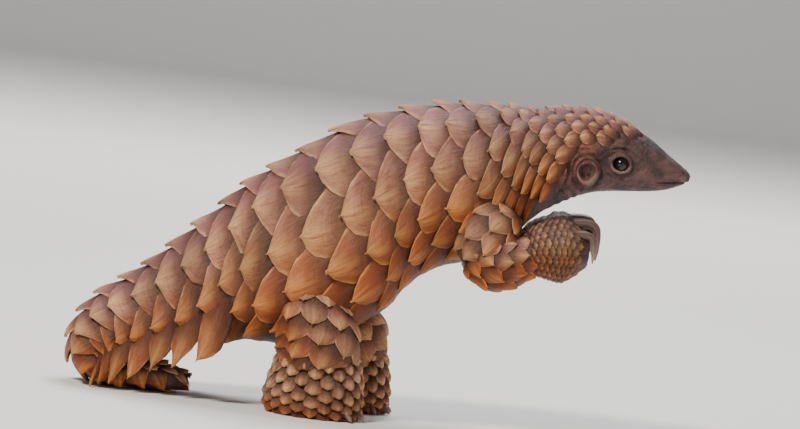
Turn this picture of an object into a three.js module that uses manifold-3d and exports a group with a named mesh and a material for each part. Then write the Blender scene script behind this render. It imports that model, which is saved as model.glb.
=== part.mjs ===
// A ground pangolin at life size, walking on its hind legs with its forefeet held up.
// Millimetres, +X ahead, +Y to the animal's left, +Z up. The floor is z = 0.
// The body is one smooth skin through named cross-sections, with horn plates raised on it in
// staggered rows, and it is parted into its nodes by thin gaps.

import * as THREE from 'three';
import { mergeVertices } from 'three/addons/utils/BufferGeometryUtils.js';
import Module from 'manifold-3d';

// Driving dimensions
const gap = 0.3;             // air between neighbouring pieces
const plateSink = 3.2;       // how far a plate's root lies inside the skin
const smallest = 0.25;       // detail finer than this is left out
const skinDip = 1.2;         // how far the skin's facets lie lower under the plates
const keelRise = 0.9;        // the low ridge along a plate
const skinSides = 24;        // facets round the body
const tailEdgeRow = 3;       // the row of plates that makes the pointed edge of the tail
const skirtHang = 0.55;      // how far its points hang down, in rows
const skirtBack = 6;         // how far they lie back
const skirtEnd = { x: -178, z: 35, slope: 0.4, least: 1.5 };    // the line that they reach down to
const wallShare = 0.58;      // where on the tail's half girth the side stands upright

// Cross-sections from the nose to the tip of the tail, over the plates.
// topX, topZ, bottomX, bottomZ: the ends of the section in the middle plane
// half: half the width; wide: height of the widest part as a share of the section
// boxy: how square the underside is; coat: plate depth; pitch: distance of plates along the back
// row: distance of plate rows as a share of half the girth; cover: share that bears plates
const columns = [
  'topX', 'topZ', 'bottomX', 'bottomZ', 'half', 'wide', 'boxy', 'coat', 'pitch', 'row', 'cover',
];
const sections = {
  'nose end': [299.5, 281, 299.5, 276, 3, 0.5, 2, 0, 19, 0.2, 0],
  'nose': [296.5, 285, 296.5, 272.5, 6.5, 0.5, 2, 0, 19, 0.2, 0],
  'muzzle': [278, 297, 278, 264, 12, 0.45, 2.3, 0, 19, 0.2, 0],
  'snout': [256, 312, 260, 260, 18, 0.45, 2.4, 0, 19, 0.2, 0],
  'cheek': [232, 324, 239, 257, 25, 0.5, 2.4, 0.6, 19, 0.2, 0.18],
  'brow': [206, 332, 214, 253, 31, 0.5, 2.3, 1.4, 20, 0.2, 0.36],
  'ear': [186, 334, 195, 247, 36, 0.5, 2.3, 2, 21, 0.2, 0.42],
  'nape': [163, 332, 171, 234, 42, 0.5, 2.2, 2.4, 25, 0.2, 0.66],
  'neck': [139, 328, 151, 219, 50, 0.5, 2.1, 2.8, 27, 0.2, 0.75],
  'shoulder': [111, 328, 128, 194, 60, 0.5, 2.1, 3, 30, 0.2, 0.84],
  'withers': [79, 326, 101, 170, 70, 0.48, 2.1, 3.4, 33, 0.2, 0.84],
  'chest': [41, 321, 58, 154, 77, 0.48, 2.1, 3.4, 36, 0.2, 0.84],
  'ribs': [2, 310, 31, 132, 82, 0.47, 2.1, 3.4, 38, 0.2, 0.84],
  'loin': [-36, 295, 13, 106, 84, 0.45, 2.1, 3.4, 42, 0.2, 0.84],
  'back': [-71, 272, -27, 80, 82, 0.44, 2.2, 3.4, 43, 0.2, 0.84],
  'rump': [-105, 246, -77, 62, 77, 0.42, 2.3, 3.4, 39, 0.2, 0.84],
  'hip': [-137, 220, -117, 60, 69, 0.42, 2.5, 3.4, 35, 0.205, 0.84],
  'tail root': [-168, 187, -147, 61, 62, 0.4, 3, 3.4, 36, 0.235, 0.84],
  'upper tail': [-195, 160, -173, 60, 57, 0.38, 3.6, 3.4, 36, 0.265, 0.84],
  'mid tail': [-222, 133, -199, 54, 54, 0.38, 4, 3.4, 35, 0.27, 0.84],
  'low tail': [-248, 111, -222, 45, 51, 0.38, 4, 3.3, 33, 0.27, 0.84],
  'bend start': [-274, 91, -238, 39, 49, 0.38, 4, 3.2, 36, 0.27, 0.84],
  'bend': [-297, 56, -249, 34, 46, 0.42, 3.4, 3, 40, 0.27, 0.84],
  'bend turn': [-294, 20, -250, 29, 43, 0.46, 3, 2.8, 42, 0.27, 0.84],
  'bend end': [-262, 0, -244, 29, 39, 0.48, 2.8, 2.6, 44, 0.27, 0.84],
  'curl': [-228, 0, -226, 30, 35, 0.5, 2.6, 2.4, 44, 0.27, 0.84],
  'curl end': [-196, 0, -198, 28, 27, 0.5, 2.4, 2, 44, 0.27, 0.84],
  'tip': [-173, 7, -174, 20, 10, 0.5, 2, 1.4, 44, 0.27, 0.84],
};

// Head parts, in their places on the left side; the right side mirrors them
const eye = { x: 227.5, z: 284.5, radius: 7.6, proud: 2.4 };
const lid = { radius: 7.9, thickness: 2 };
const ear = { x: 194.5, z: 272.5, long: 12, broad: 9.6, depth: 7, wall: 2.4, proud: 3.4 };
const mouth = { share: 0.62, length: 2.4, radius: 0.8 };
const nostril = { x: 299, y: 2.9, z: 280.5, radius: 1.4 };

// Legs on the left side: path points down the leg or out along it, and the radius at each
const upperArm = {
  path: [[114, 40, 224], [105, 50, 200], [100, 55, 168]],
  radii: [23, 29, 21],
  plates: { from: 0.8, to: 1.8, step: 0.5, row: 1 / 6, rows: 1, lift: 2.6 },
};
const forearm = {
  path: [[88, 56, 179], [118, 56, 173], [150, 51, 187]],
  radii: [17, 25, 19],
  plates: { from: 0.5, to: 1.8, step: 0.6, row: 1 / 6, rows: 2, lift: 2.6 },
};
const forepaw = {
  path: [[147, 51.3, 187], [164, 50, 191], [183, 48, 193], [206, 47, 193]],
  radii: [21, 28, 30, 14],
  plates: { from: 0.8, to: 2.2, step: 0.75, row: 1 / 6, rows: 2, lift: 1.8 },
};
const foreClaws = [
  { name: 'inner', root: [180, 33, 216], bend: [204, 34, 216], tip: [211, 36, 191], radius: 4.6 },
  { name: 'middle', root: [182, 47, 219], bend: [208, 47, 219], tip: [213, 46, 187], radius: 6 },
  { name: 'outer', root: [184, 61, 210], bend: [206, 61, 209], tip: [210, 58, 184], radius: 4.8 },
];
const hindleg = {
  path: [[-66, 44, 112], [-56, 50, 92], [-49, 52, 74], [-45, 52, 50]],
  radii: [29, 35, 40, 36],
  cut: 57.15,
  plates: { from: 0.8, to: 2.9, step: 0.8, row: 1 / 6, rows: 3, lift: 3 },
};
// Hind foot rings from the top down: x, y, z, half length, half width
const hindfoot = {
  rings: [
    [-46, 52, 60, 36.6, 32],
    [-46, 52, 42, 41.5, 34],
    [-47, 52, 22, 45, 36],
    [-47, 52, 8, 44.5, 35.5],
    [-46, 52, 0, 40, 31],
  ],
  plates: { from: 0.6, to: 3.4, step: 1.6, row: 1 / 6, rows: 3, lift: 2.4 },
};
const hindClaws = { angles: [-46, -17, 12, 41], inset: 5, length: 15, radius: 4.4, height: 6.2 };
const leftStep = 26;         // how far the left hind foot stands ahead of the right
const limbDip = 0.8;         // how far their facets lie lower under the plates
const limbSides = 12;        // facets round a limb, one to a row of its plates

// Colours
const hornColour = 0x8c6650;
const skinColour = 0x4f3a38;
const clawColour = 0x4a4340;
const eyeColour = 0x14100f;

const wasm = await Module();
wasm.setup();
const { Manifold, Mesh: SolidMesh } = wasm;

// Arithmetic on numbers and points

function mix(a, b, share) {
  return a + (b - a) * share;
}

// Smooth curve through equally spaced values
function through(values, at) {
  const last = values.length - 1;
  const place = Math.min(Math.max(at, 0), last);
  const i = Math.min(Math.floor(place), last - 1);
  const t = place - i;
  const before = values[Math.max(i - 1, 0)];
  const here = values[i];
  const next = values[i + 1];
  const after = values[Math.min(i + 2, last)];
  const pull = (next - before) / 2;
  const push = (after - here) / 2;
  const t2 = t * t;
  const t3 = t2 * t;
  return (2 * t3 - 3 * t2 + 1) * here
    + (t3 - 2 * t2 + t) * pull
    + (3 * t2 - 2 * t3) * next
    + (t3 - t2) * push;
}

function power(value, exponent) {
  return Math.sign(value) * Math.pow(Math.abs(value), exponent);
}

// Solids

// A closed solid of a triangle list: corners as [x, y, z], faces as corner numbers
function solidOf(corners, faces) {
  return new Manifold(new SolidMesh({
    numProp: 3,
    vertProperties: new Float32Array(corners.flat()),
    triVerts: new Uint32Array(faces.flat()),
  }));
}

// A closed solid of a three.js geometry
function solidFromGeometry(geometry) {
  const bare = geometry.clone();
  bare.deleteAttribute('normal');
  bare.deleteAttribute('uv');
  const merged = mergeVertices(bare, 1e-4);
  return new Manifold(new SolidMesh({
    numProp: 3,
    vertProperties: new Float32Array(merged.attributes.position.array),
    triVerts: new Uint32Array(merged.index.array),
  }));
}

// A closed skin over rings of points that all turn the same way, with a point at each end.
// Looking along the rings from the first to the last, the points of a ring turn clockwise.
function loft(rings) {
  const sides = rings[0].length;
  const corners = rings.flat();
  const faces = [];
  const middle = (ring) => [0, 1, 2].map((axis) => ring.reduce((sum, p) => sum + p[axis], 0) / sides);
  for (let r = 0; r + 1 < rings.length; r += 1) {
    for (let i = 0; i < sides; i += 1) {
      const a = r * sides + i;
      const b = r * sides + ((i + 1) % sides);
      faces.push([a, b + sides, b], [a, a + sides, b + sides]);
    }
  }
  const first = corners.length;
  corners.push(middle(rings[0]), middle(rings[rings.length - 1]));
  const lastRing = (rings.length - 1) * sides;
  for (let i = 0; i < sides; i += 1) {
    const j = (i + 1) % sides;
    faces.push([first, i, j], [first + 1, lastRing + j, lastRing + i]);
  }
  return solidOf(corners, faces);
}

function biggest(solid) {
  const parts = solid.decompose();
  return parts.reduce((best, part) => (part.volume() > best.volume() ? part : best));
}

// A surface is a function of the place along it, s, and the share of half its girth from the
// ridge line, v: 0 on the ridge, 1 or -1 on the line opposite.

class Surface {
  constructor(point) {
    this.point = point;
  }

  // Lengths of one step in s and in v, and the outward normal
  frame(s, v) {
    const step = 0.02;
    const ahead = new THREE.Vector3(...this.point(s + step, v));
    const behind = new THREE.Vector3(...this.point(s - step, v));
    const over = new THREE.Vector3(...this.point(s, v + step));
    const under = new THREE.Vector3(...this.point(s, v - step));
    const along = ahead.sub(behind).divideScalar(2 * step);
    const across = over.sub(under).divideScalar(2 * step);
    const normal = new THREE.Vector3().crossVectors(along, across).normalize();
    return { along: along.length(), across: across.length(), normal };
  }

  raised(s, v, height) {
    const p = this.point(s, v);
    const { normal } = this.frame(s, v);
    return [p[0] + normal.x * height, p[1] + normal.y * height, p[2] + normal.z * height];
  }
}

// The body's skin

const sectionNames = Object.keys(sections);
const table = {};
columns.forEach((column, i) => {
  table[column] = sectionNames.map((name) => sections[name][i]);
});
const placeOf = (name) => sectionNames.indexOf(name);

// The section at s, with the coat taken off all round
function sectionAt(s) {
  const topX = through(table.topX, s);
  const topZ = through(table.topZ, s);
  const bottomX = through(table.bottomX, s);
  const bottomZ = through(table.bottomZ, s);
  const wide = through(table.wide, s);
  const coat = through(table.coat, s);
  const height = Math.hypot(topX - bottomX, topZ - bottomZ);
  const upX = (topX - bottomX) / height;
  const upZ = (topZ - bottomZ) / height;
  return {
    x: mix(bottomX, topX, wide),
    z: mix(bottomZ, topZ, wide),
    upX,
    upZ,
    rise: height * (1 - wide) - coat,
    drop: height * wide - coat,
    half: through(table.half, s) - coat,
    boxy: through(table.boxy, s),
  };
}

// A point of a section at an angle from its top; a boxy section has a flat underside
function sectionPoint(section, angle) {
  const up = Math.cos(angle);
  const side = Math.sin(angle);
  const square = up > 0 ? 2.15 : section.boxy;
  const y = section.half * power(side, 2 / square);
  const h = (up > 0 ? section.rise : section.drop) * power(up, 2 / square);
  return [section.x + section.upX * h, -y, section.z + section.upZ * h];
}

const girthSteps = 48;

// Angles at equal shares of half the girth
function girthTable(section) {
  const lengths = [0];
  let before = sectionPoint(section, 0);
  for (let i = 1; i <= girthSteps; i += 1) {
    const here = sectionPoint(section, (Math.PI * i) / girthSteps);
    lengths.push(lengths[i - 1] + Math.hypot(here[0] - before[0], here[1] - before[1], here[2] - before[2]));
    before = here;
  }
  return lengths;
}

function angleAtShare(lengths, share) {
  const wanted = Math.abs(share) * lengths[girthSteps];
  let i = 1;
  while (i < girthSteps && lengths[i] < wanted) {
    i += 1;
  }
  const part = (wanted - lengths[i - 1]) / (lengths[i] - lengths[i - 1]);
  return Math.sign(share) * Math.PI * ((i - 1 + part) / girthSteps);
}

function bodyPoint(s, v) {
  const section = sectionAt(s);
  return sectionPoint(section, angleAtShare(girthTable(section), v));
}

// Beyond the upright part of the tail's side this surface hangs straight down, past the underside,
// to a line that runs down to the floor
function skirtPoint(s, v) {
  if (Math.abs(v) <= wallShare) {
    return bodyPoint(s, v);
  }
  const wall = bodyPoint(s, Math.sign(v) * wallShare);
  const whole = (tailEdgeRow + skirtHang) * through(table.row, s) - wallShare;
  const share = Math.min((Math.abs(v) - wallShare) / whole, 1);
  const x = wall[0] - skirtBack * share;
  const end = Math.max(skirtEnd.z + skirtEnd.slope * (x - skirtEnd.x), skirtEnd.least);
  return [x, wall[1], mix(wall[2], end, share)];
}

const body = new Surface(bodyPoint);
const skirt = new Surface(skirtPoint);

// The coat of plates

// Plates stand in rows along the body, every other row half a pitch further on. A lattice point
// (step, row) is the tip of one plate, with step counted in half pitches, and it is also a side
// corner of the two plates beside it and the front corner of the plate behind it. Each plate
// overlaps those behind it, so the point has a vertex at each of these heights, as shares of lift.
const levels = { root: 0, front: 1, side: 2, tip: 3 };
const levelShares = [0, 0.12, 0.55, 1];
const edgeLevelShares = [0, 0.22, 0.86];
const edgeBulge = 0.13;      // how far a plate's edge bows out, in pitches
const tipReach = 0.05;       // how far its tip is drawn out, in pitches
const keelAhead = 0.42;      // place of the highest point of its ridge, in pitches ahead of the tip

// A repeatable number from 0 to 1 for a lattice point
function chance(step, row, seed) {
  const value = Math.sin(step * 12.9898 + row * 78.233 + seed * 37.719) * 43758.5453;
  return value - Math.floor(value);
}

// One closed solid of all the plates for which has(step, row) is true. place(pitches, rows) gives
// the surface's s and v, raise gives a point at a height over the skin, and lift the plate's lift.
function coatSolid({ has, place, surface, lift, sink, seed, steps, rows }) {
  const corners = [];
  const numbers = new Map();
  const vertex = (key, pitches, acrossRows, height) => {
    if (!numbers.has(key)) {
      numbers.set(key, corners.length);
      const [s, v] = place(pitches, acrossRows);
      corners.push(surface(acrossRows, s).raised(s, v, height));
    }
    return numbers.get(key);
  };
  const heightOf = (share, pitches) => (share === 0 ? -sink : share * lift(pitches));
  const jitter = (step, row, which) => 0.07 * (chance(step, row, seed + which) - 0.5);
  const cornerAt = (step, row, level) => {
    const pitches = step / 2 + tipReach + jitter(step, row, 1);
    const share = levelShares[level] * (level === levels.tip ? 0.9 + 0.25 * chance(step, row, seed) : 1);
    return vertex(`${step} ${row} ${level}`, pitches, row + jitter(step, row, 2), heightOf(share, pitches));
  };
  // The middle of the edge from the tip at (step, row) to its corner on one side
  const edgeAt = (step, row, side, level) => {
    const pitches = step / 2 - 0.25 + edgeBulge + jitter(step, row + side / 2, 3);
    const share = edgeLevelShares[level];
    return vertex(`${step} ${row} ${side} ${level} edge`, pitches, row + side / 2, heightOf(share, pitches));
  };
  // A side corner lies low where no plate has its tip there
  const sideLevel = (step, row, side) => (has(step - 1, row + side) ? levels.side : levels.front);
  const faces = [];
  // A wall between two upright chains of vertices, each from its foot to its head
  const wall = (left, right) => {
    let i = 0;
    let j = 0;
    while (i < left.length - 1 || j < right.length - 1) {
      if (j < right.length - 1 && (i === left.length - 1 || j * left.length <= i * right.length)) {
        faces.push([left[i], right[j], right[j + 1]]);
        j += 1;
      } else {
        faces.push([left[i], right[j], left[i + 1]]);
        i += 1;
      }
    }
  };
  const cornerChain = (step, row, low, high) => {
    const chain = [];
    for (let level = low; level <= high; level += 1) {
      chain.push(cornerAt(step, row, level));
    }
    return chain;
  };
  const edgeChain = (step, row, side, low, high) => {
    const chain = [];
    for (let level = low; level <= high; level += 1) {
      chain.push(edgeAt(step, row, side, level));
    }
    return chain;
  };
  for (let row = -rows; row <= rows; row += 1) {
    for (let step = steps[0]; step <= steps[1]; step += 1) {
      if ((step - row) % 2 === 0 && has(step, row)) {
        const rim = (level) => [
          cornerAt(step, row, level ?? levels.tip),
          edgeAt(step, row, 1, level ?? 2),
          cornerAt(step - 1, row + 1, level ?? sideLevel(step, row, 1)),
          edgeAt(step - 1, row + 1, -1, level ?? 1),
          cornerAt(step - 2, row, level ?? levels.front),
          edgeAt(step - 1, row - 1, 1, level ?? 1),
          cornerAt(step - 1, row - 1, level ?? sideLevel(step, row, -1)),
          edgeAt(step, row, -1, level ?? 2),
        ];
        const over = rim();
        const under = rim(levels.root);
        const ridge = step / 2 - keelAhead;
        const top = vertex(`${step} ${row} ridge`, ridge, row, 0.95 * lift(ridge) + keelRise);
        const foot = vertex(`${step} ${row} foot`, ridge, row, -sink);
        for (let i = 0; i < 8; i += 1) {
          const j = (i + 1) % 8;
          faces.push([over[i], over[j], top], [under[j], under[i], foot]);
        }
        // The free rear edges stand on the plates behind, or on the skin where there are none
        for (const side of [1, -1]) {
          const behind = has(step + 1, row + side);
          const tipChain = cornerChain(step, row, behind ? levels.side : 0, levels.tip);
          const middleChain = edgeChain(step, row, side, behind ? 1 : 0, 2);
          const sideTop = sideLevel(step, row, side);
          const sideChain = cornerChain(step - 1, row + side, behind ? levels.front : 0, sideTop);
          if (side === 1) {
            wall(tipChain, middleChain);
            wall(middleChain, sideChain);
          } else {
            wall(middleChain, tipChain);
            wall(sideChain, middleChain);
          }
          // A front edge with no plate over it stands on the skin too
          if (!has(step - 1, row + side)) {
            const corner = cornerChain(step - 1, row + side, 0, sideTop);
            const middle = edgeChain(step - 1, row + side, -side, 0, 1);
            const front = cornerChain(step - 2, row, 0, levels.front);
            if (side === 1) {
              wall(corner, middle);
              wall(middle, front);
            } else {
              wall(middle, corner);
              wall(front, middle);
            }
          }
        }
      }
    }
  }
  return solidOf(corners, faces);
}

// Number of pitches along the ridge from the nose, at fine steps of s
const fineSteps = 40;
const pitchCount = [0];
for (let i = 1; i <= (sectionNames.length - 1) * fineSteps; i += 1) {
  const s = i / fineSteps;
  const here = bodyPoint(s, 0);
  const before = bodyPoint(s - 1 / fineSteps, 0);
  const step = Math.hypot(here[0] - before[0], here[2] - before[2]);
  pitchCount.push(pitchCount[i - 1] + step / through(table.pitch, s));
}

function placeAtPitch(count) {
  let i = 1;
  while (i < pitchCount.length - 1 && pitchCount[i] < count) {
    i += 1;
  }
  const part = (count - pitchCount[i - 1]) / (pitchCount[i] - pitchCount[i - 1]);
  return (i - 1 + part) / fineSteps;
}

function pitchAtPlace(s) {
  const i = Math.min(Math.floor(s * fineSteps), pitchCount.length - 2);
  return mix(pitchCount[i], pitchCount[i + 1], s * fineSteps - i);
}

const rowsPerSide = 4;
const firstPlace = placeOf('cheek') - 0.3;

function bodyBears(step, row) {
  if (step / 2 > pitchCount[pitchCount.length - 1]) {
    return false;
  }
  const s = placeAtPitch(step / 2);
  return s > firstPlace && Math.abs(row) * through(table.row, s) <= through(table.cover, s);
}

// Place of a point of the coat: a row beyond the last one is only half as far away, and the
// corner below the tail's edge row hangs down as a point of its skirt
function bodyPlace(pitches, row) {
  const s = placeAtPitch(pitches);
  const share = through(table.row, s);
  const lastRow = Math.floor(through(table.cover, s) / share + 1e-6);
  const beyond = Math.max(Math.abs(row) - lastRow, 0);
  const hang = isSkirt(s) ? skirtHang : 0.5;
  return [s, Math.sign(row) * (Math.abs(row) - beyond + beyond * hang) * share];
}

function isSkirt(s) {
  return s > placeOf('tail root') - 0.2 && s < placeOf('bend') + 0.7;
}

// The coat of the body from one place to another, a little more than asked for
function bodyCoat(from, to) {
  const steps = [Math.floor(2 * pitchAtPlace(from)) - 2, Math.ceil(2 * pitchAtPlace(to)) + 4];
  return coatSolid({
    has: (step, row) => step >= steps[0] && step <= steps[1] && bodyBears(step, row),
    place: bodyPlace,
    surface: (row, s) => (isSkirt(s) && Math.abs(row) > tailEdgeRow - 0.2 ? skirt : body),
    lift: (pitches) => through(table.coat, placeAtPitch(pitches)),
    sink: plateSink,
    seed: 7,
    steps,
    rows: rowsPerSide,
  });
}

// Lengths of the body, cut across at named sections

// The plane of a section, facing on towards the tip of the tail
function planeAt(s) {
  const section = sectionAt(s);
  const normal = [-section.upZ, 0, section.upX];
  return { normal, offset: normal[0] * section.x + normal[2] * section.z };
}

// The skin round one section, with points on each row of plates and half way between
function skinRing(s) {
  const section = sectionAt(s);
  const lengths = girthTable(section);
  const half = skinSides / 2;
  const row = through(table.row, s);
  const cover = through(table.cover, s);
  const covered = (2 * cover) / row;
  const dipped = { ...section };
  dipped.rise -= skinDip;
  dipped.drop -= skinDip;
  dipped.half -= skinDip;
  const ring = [];
  for (let i = 0; i < skinSides; i += 1) {
    const k = i <= half ? i : i - skinSides;
    const beyond = Math.max(Math.abs(k) - covered, 0) / (half - covered);
    const share = beyond > 0 ? mix(cover, 1, beyond) : (Math.abs(k) * row) / 2;
    const under = s > firstPlace + 0.5 && share < cover - 0.05;
    ring.push(sectionPoint(under ? dipped : section, angleAtShare(lengths, Math.sign(k) * share)));
  }
  return ring;
}

// The part of the body from one section to another, its plates on it, less half the gap at each end
function bodyLength(from, to, ringCount) {
  const overrun = 0.12;
  const first = from === 0 ? 0 : from - overrun;
  const last = to === sectionNames.length - 1 ? to : to + overrun;
  const rings = [];
  for (let r = 0; r <= ringCount; r += 1) {
    rings.push(skinRing(mix(first, last, r / ringCount)));
  }
  let solid = loft(rings).add(bodyCoat(Math.max(from, firstPlace), to));
  if (from > 0) {
    const plane = planeAt(from);
    solid = solid.trimByPlane(plane.normal, plane.offset + gap / 2);
  }
  if (to < sectionNames.length - 1) {
    const plane = planeAt(to);
    solid = solid.trimByPlane(plane.normal.map((n) => -n), -plane.offset + gap / 2);
  }
  return biggest(solid.trimByPlane([0, 0, 1], 0)).simplify(smallest);
}

// Tubes, claws and limbs

// A point of a path of equally spaced points
function pathPoint(path, s) {
  return [0, 1, 2].map((axis) => through(path.map((point) => point[axis]), s));
}

// The surface of a tube along a path; v = 0 faces outward, to the animal's left
function tubeSurface(path, radii, grow = 0) {
  const last = path.length - 1;
  return new Surface((s, v) => {
    const centre = pathPoint(path, s);
    const ahead = new THREE.Vector3(...pathPoint(path, Math.min(s + 0.05, last)));
    const along = ahead.sub(new THREE.Vector3(...pathPoint(path, Math.max(s - 0.05, 0)))).normalize();
    const out = new THREE.Vector3(0, 1, 0);
    out.addScaledVector(along, -out.dot(along)).normalize();
    const other = new THREE.Vector3().crossVectors(out, along);
    const radius = through(radii, s) + grow;
    const beyond = (s >= last ? grow : 0) - (s <= 0 ? grow : 0);
    centre.forEach((value, axis) => {
      centre[axis] = value + along.getComponent(axis) * beyond;
    });
    const turn = Math.PI * v;
    const p = out.multiplyScalar(radius * Math.cos(turn)).addScaledVector(other, radius * Math.sin(turn));
    return [centre[0] + p.x, centre[1] + p.y, centre[2] + p.z];
  });
}

// A surface through flat rings, each an ellipse
function ringSurface(rings, grow = 0) {
  return new Surface((s, v) => {
    const [x, y, z, long, broad] = [0, 1, 2, 3, 4].map((i) => through(rings.map((ring) => ring[i]), s));
    const angle = Math.PI * v;
    return [x - (long + grow) * Math.sin(angle), y + (broad + grow) * Math.cos(angle), z];
  });
}

function loftOfSurface(surface, from, to, ringCount, sides) {
  const rings = [];
  for (let r = 0; r <= ringCount; r += 1) {
    const ring = [];
    for (let i = 0; i < sides; i += 1) {
      ring.push(surface.point(mix(from, to, r / ringCount), (2 * i) / sides));
    }
    rings.push(ring);
  }
  return loft(rings);
}

// The coat of a limb, in rows beside the line that faces outwards
function limbCoat(surface, { from, to, step, row, rows, lift }, seed) {
  const steps = [Math.ceil((2 * from) / step), Math.floor((2 * to) / step)];
  return coatSolid({
    has: (i, k) => i >= steps[0] && i <= steps[1] && Math.abs(k) <= rows,
    place: (pitches, k) => [pitches * step, k * row],
    surface: () => surface,
    lift: () => lift,
    sink: lift + limbDip,
    seed,
    steps,
    rows,
  });
}

// The bare skin of a limb
function limbSkin({ path, radii }, grow = 0) {
  return loftOfSurface(tubeSurface(path, radii, grow), 0, path.length - 1, 5, limbSides);
}

// A limb with its plates, less what of the plates would enter the solid that it grows from
function limbSolid(limb, seed, neighbour) {
  const coat = limbCoat(tubeSurface(limb.path, limb.radii, limbDip), limb.plates, seed).subtract(neighbour);
  return limbSkin(limb).add(coat);
}

// Room over the body's coat, which the plates of the limbs keep clear of
function bodyRoom(from, to) {
  const clear = keelRise + 2 * gap + 1;
  const rings = [];
  for (let s = from; s <= to; s += 0.5) {
    const section = sectionAt(s);
    const beyond = through(table.coat, s) + clear;
    section.rise += beyond;
    section.drop += beyond;
    section.half += beyond;
    const ring = [];
    for (let i = 0; i < skinSides; i += 1) {
      ring.push(sectionPoint(section, (2 * Math.PI * i) / skinSides));
    }
    rings.push(ring);
  }
  return loft(rings);
}

// A curved claw: a tapering tube from its root through its bend to its tip
function clawSolid({ root, bend, tip, radius }, grow = 0) {
  const surface = tubeSurface([root, bend, tip], [radius, radius * 0.82, radius * 0.2], grow);
  return loftOfSurface(surface, 0, 2, 4, 7);
}

// The same solid on the other side of the body
function mirrored(solid) {
  const mesh = solid.getMesh();
  const points = mesh.vertProperties.map((value, i) => (i % 3 === 1 ? -value : value));
  const faces = [];
  for (let i = 0; i < mesh.triVerts.length; i += 3) {
    faces.push(mesh.triVerts[i], mesh.triVerts[i + 2], mesh.triVerts[i + 1]);
  }
  const turned = { numProp: 3, vertProperties: points, triVerts: Uint32Array.from(faces) };
  return new Manifold(new SolidMesh(turned));
}

function shifted(points, step) {
  return points.map((point) => [point[0] + step, ...point.slice(1)]);
}

function aboveFloor(solid) {
  return biggest(solid.trimByPlane([0, 0, 1], 0)).simplify(smallest);
}

// Assembly

const model = new THREE.Group();

function addNode(name, solid, colour, roughness = 0.6) {
  const mesh = solid.getMesh();
  const geometry = new THREE.BufferGeometry();
  geometry.setAttribute('position', new THREE.BufferAttribute(new Float32Array(mesh.vertProperties), 3));
  geometry.setIndex(new THREE.BufferAttribute(new Uint32Array(mesh.triVerts), 1));
  const material = new THREE.MeshStandardMaterial({ color: colour, roughness, metalness: 0 });
  const node = new THREE.Mesh(geometry, material);
  node.name = name;
  model.add(node);
}

// Half the skin's width at a place of the head, at the height of its widest part
function headHalfWidth(x) {
  let s = 0;
  while (s < placeOf('nape') && sectionAt(s).x > x) {
    s += 0.05;
  }
  return sectionAt(s).half;
}

function eyeBall(grow = 0) {
  const ball = new THREE.SphereGeometry(eye.radius + grow, 10, 7);
  ball.translate(eye.x, headHalfWidth(eye.x) + eye.proud - eye.radius, eye.z);
  return solidFromGeometry(ball);
}

function lidRing() {
  const ring = new THREE.TorusGeometry(lid.radius, lid.thickness, 5, 12);
  ring.rotateX(Math.PI / 2);
  ring.translate(eye.x, headHalfWidth(eye.x) - 0.6, eye.z);
  return solidFromGeometry(ring);
}

// The ear: an oval cup with a thick rim. Grown, it is the whole hollow that the cup sits in.
function earCup(grow = 0) {
  const { depth, wall, proud } = ear;
  const foot = -depth - grow;
  const outer = [[0, foot], [0.62, foot], [0.95, -depth * 0.4], [1, proud * 0.6], [0.93, proud]];
  const inner = [[0.72, proud * 0.8], [0.6, -depth * 0.4], [0.35, -depth + wall], [0, -depth + wall]];
  const profile = grow > 0 ? [...outer, [0, proud]] : [...outer, ...inner];
  const cup = new THREE.LatheGeometry(profile.map(([r, h]) => new THREE.Vector2(r, h)), 12);
  cup.scale(ear.broad + grow, 1, ear.long + grow);
  cup.translate(ear.x, headHalfWidth(ear.x), ear.z);
  return solidFromGeometry(cup);
}

function mouthGroove() {
  const turn = [-1, -0.75, -0.45, -0.2, 0.2, 0.45, 0.75, 1].map((side) => {
    const s = mouth.length * Math.max(Math.abs(side) - 0.2, 0) + 0.05;
    return bodyPoint(s, mouth.share * Math.sign(side));
  });
  return loftOfSurface(tubeSurface(turn, turn.map(() => mouth.radius)), 0, turn.length - 1, 10, 4);
}

function nostrilPit() {
  const pit = new THREE.SphereGeometry(nostril.radius, 8, 6);
  pit.translate(nostril.x, nostril.y, nostril.z);
  return solidFromGeometry(pit);
}

function bothSides(solid) {
  return [solid, mirrored(solid)];
}

const rightHind = hindleg;
const leftHind = { ...hindleg, path: shifted(hindleg.path, leftStep) };

// What is taken out of the body so that limbs sit in it with a gap
const limbRoom = Manifold.union([
  ...bothSides(limbSkin(upperArm, gap)),
  ...bothSides(limbSkin(forearm, gap)),
  mirrored(limbSkin(rightHind, gap)),
  limbSkin(leftHind, gap),
]);
const roomOverBody = bodyRoom(placeOf('neck'), placeOf('tail root'));

const lengths = [
  ['neck', 'nape', 'shoulder', 4],
  ['chest', 'shoulder', 'ribs', 5],
  ['trunk', 'ribs', 'rump', 5],
  ['hips', 'rump', 'tail root', 4],
  ['tail_base', 'tail root', 'mid tail', 4],
  ['tail_middle', 'mid tail', 'bend start', 4],
  ['tail_bend', 'bend start', 'bend end', 6],
  ['tail_tip', 'bend end', 'tip', 6],
];

const eyeSocket = Manifold.union(bothSides(eyeBall(gap)));
const earSocket = Manifold.union(bothSides(earCup(gap)));
const head = Manifold.union([bodyLength(0, placeOf('nape'), 12), ...bothSides(lidRing())])
  .subtract(eyeSocket)
  .subtract(earSocket)
  .subtract(mouthGroove())
  .subtract(Manifold.union(bothSides(nostrilPit())));
addNode('head', aboveFloor(head), skinColour);
for (const [name, from, to, ringCount] of lengths) {
  addNode(name, aboveFloor(bodyLength(placeOf(from), placeOf(to), ringCount).subtract(limbRoom)), hornColour);
}

const [leftEye, rightEye] = bothSides(eyeBall());
addNode('eye_left', leftEye, eyeColour, 0.1);
addNode('eye_right', rightEye, eyeColour, 0.1);
const [leftEar, rightEar] = bothSides(earCup());
addNode('ear_left', leftEar, skinColour);
addNode('ear_right', rightEar, skinColour);

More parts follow.
